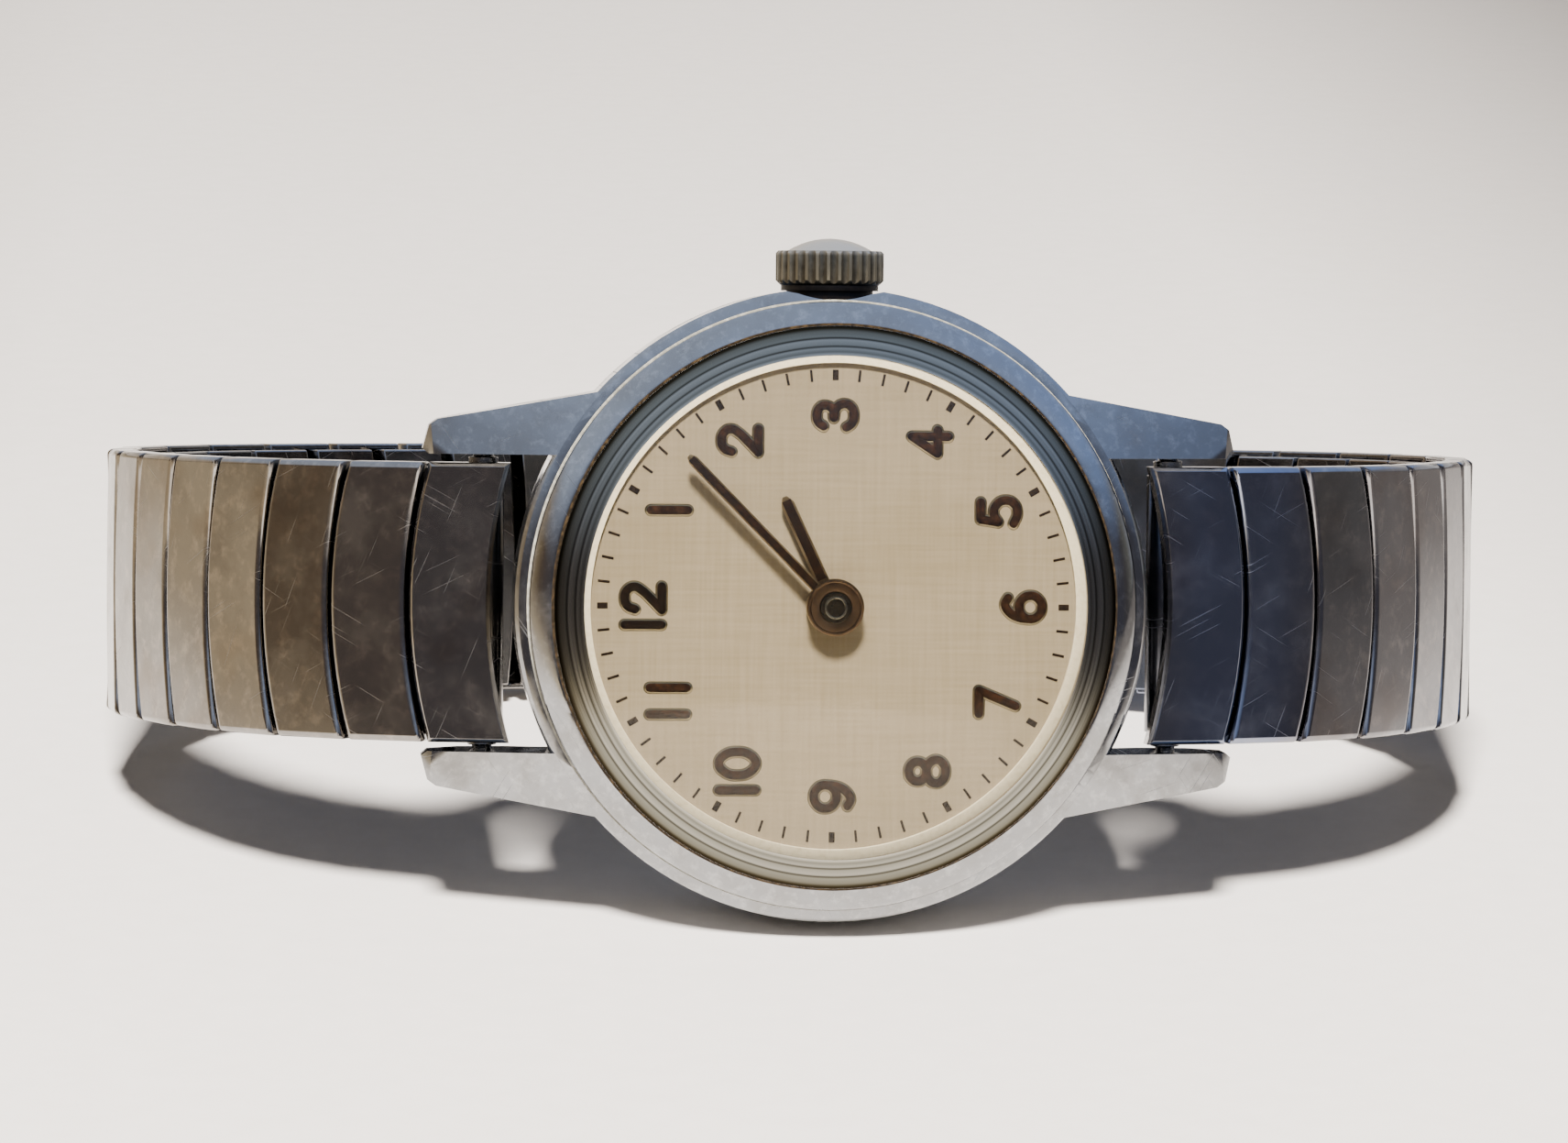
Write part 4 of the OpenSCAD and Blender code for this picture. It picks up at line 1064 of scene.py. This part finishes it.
@dataclass(frozen=True)
class Dial:
    """The dial's markings: stamped numerals, minute marks, hour dots and the turned-down rim."""

    numeral_r_mm: float = 7.65
    digit_w_mm: float = 0.94
    digit_h_mm: float = 1.48
    stroke_mm: float = 0.42
    relief_mm: float = 0.1
    base_mm: float = 0.09
    base_share: float = 0.75
    one_gap_mm: float = 0.6
    eleven_gap_mm: float = 1.07
    mark_r_mm: float = 9.28
    mark_l_mm: float = 0.48
    mark_w_mm: float = 0.1
    dot_l_mm: float = 0.42
    dot_w_mm: float = 0.24
    ink_mm: float = 0.02
    ink_edge_mm: float = 0.008
    rim_mm: float = 0.46
    rim_relief_mm: float = 0.24
    rim_depth_mm: float = 0.15
    play_mm: float = 0.03
    sunk_mm: float = 0.02

    def build(self) -> None:
        """Build every marking on the dial's top."""
        top = AXES.top("dial")
        for hour in range(1, 13):
            paint = self.numeral(f"numeral_{hour:02d}", hour, top, self.stroke_mm, self.relief_mm)
            hand_over(paint, TWELVE if hour == 12 else NUMERAL, "case")
            base = self.numeral(f"numeral_{hour:02d}_base", hour, top, self.stroke_mm + self.base_mm,
                                self.relief_mm * self.base_share)
            hand_over(base, SILVER, "case")
        hand_over(self.minute_track(top), MARK, "case")
        sight_mm = min(off_axis(corner) for corner in AXES.local("case_body")) / MM - self.play_mm
        # Painted highlight: the rim is painted pale for the bright crescent of light round the dial's edge.
        rim = turned_ring("dial_rim", sight_mm - self.rim_mm, sight_mm, top - self.rim_depth_mm * MM,
                          top + self.rim_relief_mm * MM, edge_mm=0.03, fall_mm=self.rim_relief_mm)
        hand_over(rim, RIM_HIGHLIGHT, "case")

    def spot(self, turn: float, radius_mm: float, height: float) -> Matrix:
        """Give the placing of a marking at an angle clockwise from twelve, kept upright."""
        out = Vector((math.sin(turn) * radius_mm * MM, math.cos(turn) * radius_mm * MM, height))
        return AXES.placing() @ Matrix.Translation(out)

    def numeral(self, name: str, hour: int, top: float, stroke_mm: float, relief_mm: float) -> Piece:
        """Build one upright numeral from its strokes.

        Args:
            name: The piece's name.
            hour: The hour that it names.
            top: Height of the dial's top in metres.
            stroke_mm: Width of its strokes.
            relief_mm: How far it stands above the dial.

        Returns:
            The numeral, set in its place.
        """
        digits = str(hour)
        starts = [0.0]
        if len(digits) == 2:
            starts.append(self.eleven_gap_mm if hour == 11 else self.one_gap_mm)
        width = starts[-1] + (0.0 if digits[-1] == "1" else self.digit_w_mm)
        strokes = []
        for digit, start in zip(digits, starts):
            for stroke in DIGITS[digit]:
                places = [(start + x * self.digit_w_mm - width / 2, (y - 0.5) * self.digit_h_mm)
                          for x, y in stroke.points]
                strokes.extend(self.stroke(stroke, places, stroke_mm))
        piece = join(name, strokes)
        flat = relief_mm / (stroke_mm / 2)
        piece.data.transform(Matrix.Diagonal((MM, MM, MM * flat, 1.0)))
        activate(piece)
        bpy.ops.object.shade_smooth()
        piece.data.transform(self.spot(math.radians(30 * hour), self.numeral_r_mm, top))
        return piece

    def stroke(self, stroke: Stroke, places: list[tuple[float, float]], width_mm: float) -> list[Piece]:
        """Build a stroke as the upper half of a tube with round ends.

        Args:
            stroke: The stroke's kind.
            places: Its points in millimetres.
            width_mm: Its width.

        Returns:
            The tube and its end balls, as meshes with one unit to the millimetre.
        """
        bpy.ops.object.select_all(action="DESELECT")
        bpy.ops.curve.primitive_bezier_curve_add()
        line = bpy.context.object
        line.data.dimensions = "3D"
        spline = line.data.splines[0]
        spline.bezier_points.add(len(places) - 2)
        for knot, (x, y) in zip(spline.bezier_points, places):
            knot.co = (x, y, 0.0)
            knot.handle_left_type = "AUTO" if stroke.bends else "VECTOR"
            knot.handle_right_type = knot.handle_left_type
        spline.use_cyclic_u = stroke.closed
        line.data.bevel_depth = width_mm / 2
        line.data.bevel_resolution = 3
        line.data.resolution_u = 6
        bpy.ops.object.convert(target="MESH")
        parts = [bpy.context.object]
        if not stroke.closed:
            for x, y in (places[0], places[-1]):
                bpy.ops.object.select_all(action="DESELECT")
                bpy.ops.mesh.primitive_uv_sphere_add(segments=16, ring_count=8, radius=width_mm / 2,
                                                     location=(x, y, 0.0))
                bpy.ops.object.transform_apply(location=True, rotation=False, scale=False)
                parts.append(bpy.context.object)
        for part in parts:
            activate(part)
            bpy.ops.object.mode_set(mode="EDIT")
            bpy.ops.mesh.select_all(action="SELECT")
            bpy.ops.mesh.remove_doubles(threshold=0.0001)
            bpy.ops.mesh.bisect(plane_co=(0.0, 0.0, -self.sunk_mm), plane_no=(0.0, 0.0, 1.0),
                                clear_inner=True, use_fill=True)
            bpy.ops.object.mode_set(mode="OBJECT")
        return parts

    def minute_track(self, top: float) -> Piece:
        """Build the sixty printed marks, with a thicker one at each hour.

        Args:
            top: Height of the dial's top in metres.

        Returns:
            All marks as one piece.
        """
        fine = rounded_bar("minute_mark", self.mark_l_mm, self.mark_w_mm, self.ink_mm, self.ink_edge_mm)
        bold = rounded_bar("hour_mark", self.dot_l_mm, self.dot_w_mm, self.ink_mm, self.ink_edge_mm)
        marks = []
        for minute in range(60):
            source = fine if minute % 5 else bold
            mark = bpy.data.objects.new("mark", source.data.copy())
            bpy.context.scene.collection.objects.link(mark)
            turn = math.radians(6 * minute)
            spin = Matrix.Rotation(-turn, 4, "Z")
            mark.data.transform(self.spot(turn, self.mark_r_mm, top) @ spin)
            marks.append(mark)
        for source in (fine, bold):
            bpy.data.objects.remove(source)
        return join("minute_track", marks)


@dataclass(frozen=True)
class Hand:
    """A baton hand: its gilt frame, and the dark paint in its channel."""

    node: str
    paint_mm: float
    start_mm: float
    end_mm: float
    tip_mm: float = 0.05
    proud_mm: float = 0.012
    edge_mm: float = 0.02

    def build(self) -> None:
        """Soften the frame and fill its channel with paint, just proud of the frame."""
        WornCopy(self.node, HAND_EDGE, Wear.CRISP).build()
        corners = AXES.local(self.node)
        reach = AXES.radius(self.node)
        tip = [c for c in corners if off_axis(c) > reach - self.tip_mm * MM]
        along = sum((Vector((c.x, c.y, 0.0)) for c in tip), Vector()).normalized()
        low = min(c.z for c in corners)
        length_mm = reach / MM - self.start_mm - self.end_mm
        height_mm = (AXES.top(self.node) - low) / MM + self.proud_mm
        paint = rounded_bar(f"{self.node}_paint", length_mm, self.paint_mm, height_mm, self.edge_mm)
        middle = along * (self.start_mm + length_mm / 2) * MM
        turn = Matrix.Rotation(math.atan2(along.y, along.x) - math.pi / 2, 4, "Z")
        paint.data.transform(AXES.placing() @ Matrix.Translation((middle.x, middle.y, low)) @ turn)
        hand_over(paint, HAND_PAINT, BODY_OF[self.node])


@dataclass(frozen=True)
class HandCentre:
    """The copper disc over the minute hand's hub, its raised rim, and the dark boss in its middle."""

    disc_r_mm: float = 1.12
    disc_t_mm: float = 0.04
    disc_edge_mm: float = 0.015
    rim_w_mm: float = 0.13
    rim_t_mm: float = 0.1
    rim_edge_mm: float = 0.045
    groove_r_mm: float = 0.36
    groove_w_mm: float = 0.1
    groove_t_mm: float = 0.03
    groove_edge_mm: float = 0.02
    flat_mm: float = 0.01
    play_mm: float = 0.02

    def build(self) -> None:
        """Build the boss, the disc, its rim and the ring on the boss."""
        WornCopy("cannon_pinion", BOSS, Wear.CRISP).build()
        seat = AXES.top("minute_hand")
        top = AXES.top("cannon_pinion")
        low = top - self.flat_mm * MM
        boss_mm = max(off_axis(c) for c in AXES.local("cannon_pinion") if c.z > low) / MM
        disc = turned_ring("hub_disc", boss_mm + self.play_mm, self.disc_r_mm, seat,
                           seat + self.disc_t_mm * MM, self.disc_edge_mm)
        hand_over(disc, HUB, "center")
        rim = turned_ring("hub_rim", self.disc_r_mm - self.rim_w_mm, self.disc_r_mm + self.play_mm, seat,
                          seat + self.rim_t_mm * MM, self.rim_edge_mm)
        hand_over(rim, HUB, "center")
        ring = turned_ring("boss_ring", self.groove_r_mm, self.groove_r_mm + self.groove_w_mm, low,
                           top + self.groove_t_mm * MM, self.groove_edge_mm)
        hand_over(ring, STEEL, "center")


@dataclass(frozen=True)
class Head:
    """The case, bezel, crystal, crown, back, the grime between them, and painted shade, highlight and reflection
    rings.
    """

    grime_w_mm: float = 0.18
    grime_h_mm: float = 0.15
    grime_proud_mm: float = 0.015
    band_mm: float = 1.2
    band_inset_mm: float = 0.03
    band_span_mm: Span = (-0.02, 0.03)
    seam_span_mm: Span = (-0.02, 0.08)
    seam_h_mm: float = 0.4
    seam_near_mm: float = 0.1
    collar_r_mm: float = 1.76
    collar_h_mm: float = 1.0
    collar_gap_mm: float = 0.06
    under_mm: float = 0.22
    under_gap_mm: float = 0.04
    foot_tubes: float = 1.5
    flat_mm: float = 0.01
    play_mm: float = 0.02
    sunk_mm: float = 0.005

    def build(self) -> None:
        """Soften the parts, lay the grime between them, and add the painted shade, highlight and reflection rings.
        """
        WornCopy("case_body", CASE, Wear.ROUND, 3).build()
        # The crown's tube is dressed dark as painted shade in the hollow under the crown.
        WornCopy("crown_tube", GRIME_AND_SHADE, Wear.CRISP).build()
        WornCopy("bezel", CHROME, Wear.SOFT).build()
        WornCopy("crystal", ACRYLIC, Wear.SOFT, 3).build()
        WornCopy("caseback", BACK, Wear.ROUND, 3, 15).build()
        WornCopy("crown", CROWN, Wear.CRISP).build()
        WornCopy("spring_bars", STEEL, Wear.SOFT).build()
        radius = AXES.radius("crystal")
        self.crystal_seam(radius)
        self.crystal_edge(radius)
        self.bezel_seam()
        self.stem_collar()

    def crystal_seam(self, radius: float) -> None:
        """Pack grime between the crystal and the bezel.

        Args:
            radius: The crystal's radius in metres.
        """
        lip = max(c.z for c in AXES.local("bezel") if abs(off_axis(c) - radius) < self.play_mm * MM)
        seam = turned_ring("crystal_seam_grime", radius / MM - self.grime_w_mm / 2,
                           radius / MM + self.grime_w_mm / 2, lip - self.grime_h_mm * MM,
                           lip + self.grime_proud_mm * MM, edge_mm=0.03)
        hand_over(seam, GRIME_AND_SHADE, "case")

    def crystal_edge(self, radius: float) -> None:
        """Lay the painted reflection bands on the edge of the crystal's dome.

        Args:
            radius: The crystal's radius in metres.
        """
        lip = AXES.top("bezel")
        dome = [c for c in AXES.local("crystal") if c.z > lip]
        inner = radius - self.band_mm * MM
        outer = radius - self.band_inset_mm * MM
        high, low = (min(dome, key=lambda c: abs(off_axis(c) - place)).z for place in (inner, outer))
        under, over = (high + step * MM for step in self.band_span_mm)
        # Painted reflection: an opaque banded ring stands for the light that the clear edge reflects and bends.
        band = turned_ring("crystal_edge_painted_reflections", inner / MM, outer / MM, under, over, edge_mm=0.01,
                           fall_mm=(high - low) / MM)
        band.visible_shadow = False
        hand_over(band, EDGE, "case")

    def bezel_seam(self) -> None:
        """Fill the seam between the bezel and the case with a pale ring: a painted highlight."""
        radius = AXES.radius("bezel")
        inner_mm, outer_mm = (radius / MM + step for step in self.seam_span_mm)
        near = [c.z for c in AXES.local("case_body") if abs(off_axis(c) - radius) < self.seam_near_mm * MM]
        # Painted highlight: a pale ring where the seam between bezel and case catches the light.
        seam = turned_ring("bezel_seam_highlight_ring", inner_mm, outer_mm, max(near) - self.seam_h_mm * MM,
                           max(near) + self.sunk_mm * MM, edge_mm=0.02)
        hand_over(seam, SEAM_HIGHLIGHT, "case")

    def stem_collar(self) -> None:
        """Put black rings of painted shade round the crown's tube, for the shade in the hollow under the crown;
        the outer ring hangs from the crown.
        """
        tube = max(AXES.off_stem(c) for c in AXES.local("crown_tube"))
        crown = AXES.local("crown")
        foot = min(c.x for c in crown if AXES.off_stem(c) > self.foot_tubes * tube)
        base_mm = max(AXES.off_stem(c) for c in crown if c.x < foot + self.flat_mm * MM) / MM
        high = foot - self.collar_gap_mm * MM
        lying = Matrix.Translation((0.0, 0.0, AXES.stem_height())) @ Matrix.Rotation(math.pi / 2, 4, "Y")
        placing = AXES.placing() @ lying
        # Painted shade: dark rings fill the hollow under the crown.
        collar = turned_ring("stem_painted_shade", tube / MM + self.play_mm, self.collar_r_mm,
                             high - self.collar_h_mm * MM, high, edge_mm=0.03, placing=placing)
        hand_over(collar, PAINTED_STEM_SHADE, "case")
        under = turned_ring("crown_underside_painted_shade", self.collar_r_mm + self.under_gap_mm,
                            base_mm - self.play_mm, foot - self.under_mm * MM, foot + self.sunk_mm * MM,
                            edge_mm=0.01, placing=placing)
        hand_over(under, PAINTED_STEM_SHADE, "crown")


@dataclass(frozen=True)
class Bracelet:
    """The links of the expansion bracelet, with worn edges."""

    wear: Wear = Wear.ROUND

    def build(self) -> None:
        """Soften every link section and the pieces on the spring bars."""
        for node in sorted(frame["nodes"]):
            if node.startswith("links_") or node == "end_links":
                WornCopy(node, STRIP, self.wear).build()


def dress_packed_nodes() -> None:
    """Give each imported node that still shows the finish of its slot."""
    for name, node in frame["nodes"].items():
        slot = node.data.materials[0].name
        if slot in SLOT_FINISH:
            node.data.materials[0] = SLOT_FINISH[slot].material()
            LOG.info("%s: packed, %s", name, slot)


@dataclass(frozen=True)
class PhotoCamera:
    """The camera at the photograph's angle, set by the place of the hands' centre in the picture."""

    width_px: int = 1711
    height_px: int = 1247
    centre_px: tuple[float, float] = (912.0, 663.0)
    centre_height_mm: float = 7.05
    azimuth_deg: float = -5.0
    elevation_deg: float = 14.2
    roll_deg: float = 1.5
    distance_mm: float = 250.0
    px_per_mm: float = 27.24
    sensor_mm: float = 36.0
    nearest_m: float = 0.01

    def build(self) -> None:
        """Place the camera and make it the scene's own."""
        turn = math.radians(self.azimuth_deg)
        rise = math.radians(self.elevation_deg)
        roll = math.radians(self.roll_deg)
        back = Vector((math.sin(turn) * math.cos(rise), -math.cos(turn) * math.cos(rise), math.sin(rise)))
        right = Vector((0.0, 0.0, 1.0)).cross(back).normalized()
        up = back.cross(right)
        level = right * math.cos(roll) + up * math.sin(roll)
        upright = up * math.cos(roll) - right * math.sin(roll)
        centre = AXES.placing() @ Vector((0.0, 0.0, self.centre_height_mm * MM))
        data = bpy.data.cameras.new("photo_camera")
        data.sensor_fit = "HORIZONTAL"
        data.sensor_width = self.sensor_mm
        data.lens = self.px_per_mm * self.distance_mm * self.sensor_mm / self.width_px
        data.shift_x = (self.width_px / 2 - self.centre_px[0]) / self.width_px
        data.shift_y = (self.centre_px[1] - self.height_px / 2) / self.width_px
        data.clip_start = self.nearest_m
        camera = bpy.data.objects.new("photo_camera", data)
        axes = Matrix((level, upright, back)).transposed().to_4x4()
        camera.matrix_world = Matrix.Translation(centre + back * self.distance_mm * MM) @ axes
        bpy.context.scene.collection.objects.link(camera)
        bpy.context.scene.camera = camera


@dataclass(frozen=True)
class SoftLamp:
    """A soft lamp that points at the watch and gives light but no highlight."""

    name: str = "front_window"
    place: tuple[float, float, float] = (-0.06, -0.43, 0.61)
    aim: tuple[float, float, float] = (0.0, 0.0, 0.012)
    size_m: float = 0.13
    watts: float = 27.0
    colour: str = "#fff8f0"

    def build(self) -> None:
        """Place the lamp and turn it to the watch."""
        data = bpy.data.lights.new(self.name, "AREA")
        data.shape = "DISK"
        data.size = self.size_m
        data.energy = self.watts
        data.color = linear(self.colour)[:3]
        lamp = bpy.data.objects.new(self.name, data)
        lamp.location = self.place
        lamp.visible_glossy = False
        lamp.visible_transmission = False
        way = Vector(self.aim) - Vector(self.place)
        lamp.rotation_euler = way.to_track_quat("-Z", "Y").to_euler()
        bpy.context.scene.collection.objects.link(lamp)


@dataclass(frozen=True)
class Studio:
    """The pale floor, the soft lamp and the room that the metal mirrors."""

    floor_m: float = 3.0
    backdrop: str = "#9e9b98"
    ambient: str = "#353331"
    overhead: str = "#b8c9e6"
    overhead_from: float = 0.22
    overhead_full: float = 0.45
    room_strength: float = 2.0
    front_to_back: Stops = ((0.0, "#504e52"), (0.2, "#5a5453"), (0.34, "#655a50"), (0.52, "#8d816c"),
                            (0.7, "#b0a698"), (1.0, "#dfd8cc"))
    left_to_right: Stops = ((0.0, "#fff3e4"), (0.5, "#eeecee"), (1.0, "#c4d2ee"))

    def build(self) -> None:
        """Build the floor, the lamp and the room."""
        bpy.ops.object.select_all(action="DESELECT")
        bpy.ops.mesh.primitive_plane_add(size=self.floor_m)
        floor = bpy.context.object
        floor.name = "floor"
        floor.data.materials.append(FLOOR.material())
        SoftLamp().build()
        self.room()

    def room(self) -> None:
        """Fill the room: dark towards the viewer, pale behind the watch and blue overhead."""
        world = bpy.data.worlds.new("soft_room")
        bpy.context.scene.world = world
        world.use_nodes = True
        tree = world.node_tree
        way = add_node(tree, "ShaderNodeTexCoord").outputs["Generated"]
        parts = add_node(tree, "ShaderNodeSeparateXYZ", {0: way}).outputs
        depth = add_node(tree, "ShaderNodeMapRange", {"Value": parts["Y"], "From Min": -1.0, "From Max": 1.0})
        wall = add_node(tree, "ShaderNodeValToRGB", {"stops": self.front_to_back, "Fac": depth})
        high = add_node(tree, "ShaderNodeMapRange", {"Value": parts["Z"], "From Min": self.overhead_from,
                                                     "From Max": self.overhead_full})
        sky = add_node(tree, "ShaderNodeMix", {"data_type": "RGBA", 0: high, 6: wall,
                                               7: linear(self.overhead)})
        side = add_node(tree, "ShaderNodeMapRange", {"Value": parts["X"], "From Min": -1.0, "From Max": 1.0})
        cast = add_node(tree, "ShaderNodeValToRGB", {"stops": self.left_to_right, "Fac": side})
        sky = add_node(tree, "ShaderNodeMix", {"data_type": "RGBA", "blend_type": "MULTIPLY", 0: 1.0, 6: sky,
                                               7: cast})
        path = add_node(tree, "ShaderNodeLightPath").outputs
        soft = add_node(tree, "ShaderNodeMix", {"data_type": "RGBA", 0: path["Is Diffuse Ray"], 6: sky,
                                                7: linear(self.ambient)})
        seen = add_node(tree, "ShaderNodeMix", {"data_type": "RGBA", 0: path["Is Camera Ray"], 6: soft,
                                                7: linear(self.backdrop)})
        feed(tree, tree.nodes["Background"], {"Strength": self.room_strength, "Color": seen})


def main() -> None:
    """Build the camera, the dressed watch and the studio."""
    logging.basicConfig(level=logging.INFO, format="%(message)s")
    PhotoCamera().build()
    Head().build()
    Bracelet().build()
    Hand("hour_hand", 0.38, 1.2, 0.16).build()
    Hand("minute_hand", 0.3, 1.15, 0.14).build()
    HandCentre().build()
    Dial().build()
    dress_packed_nodes()
    Studio().build()


if __name__ == "__main__":
    main()
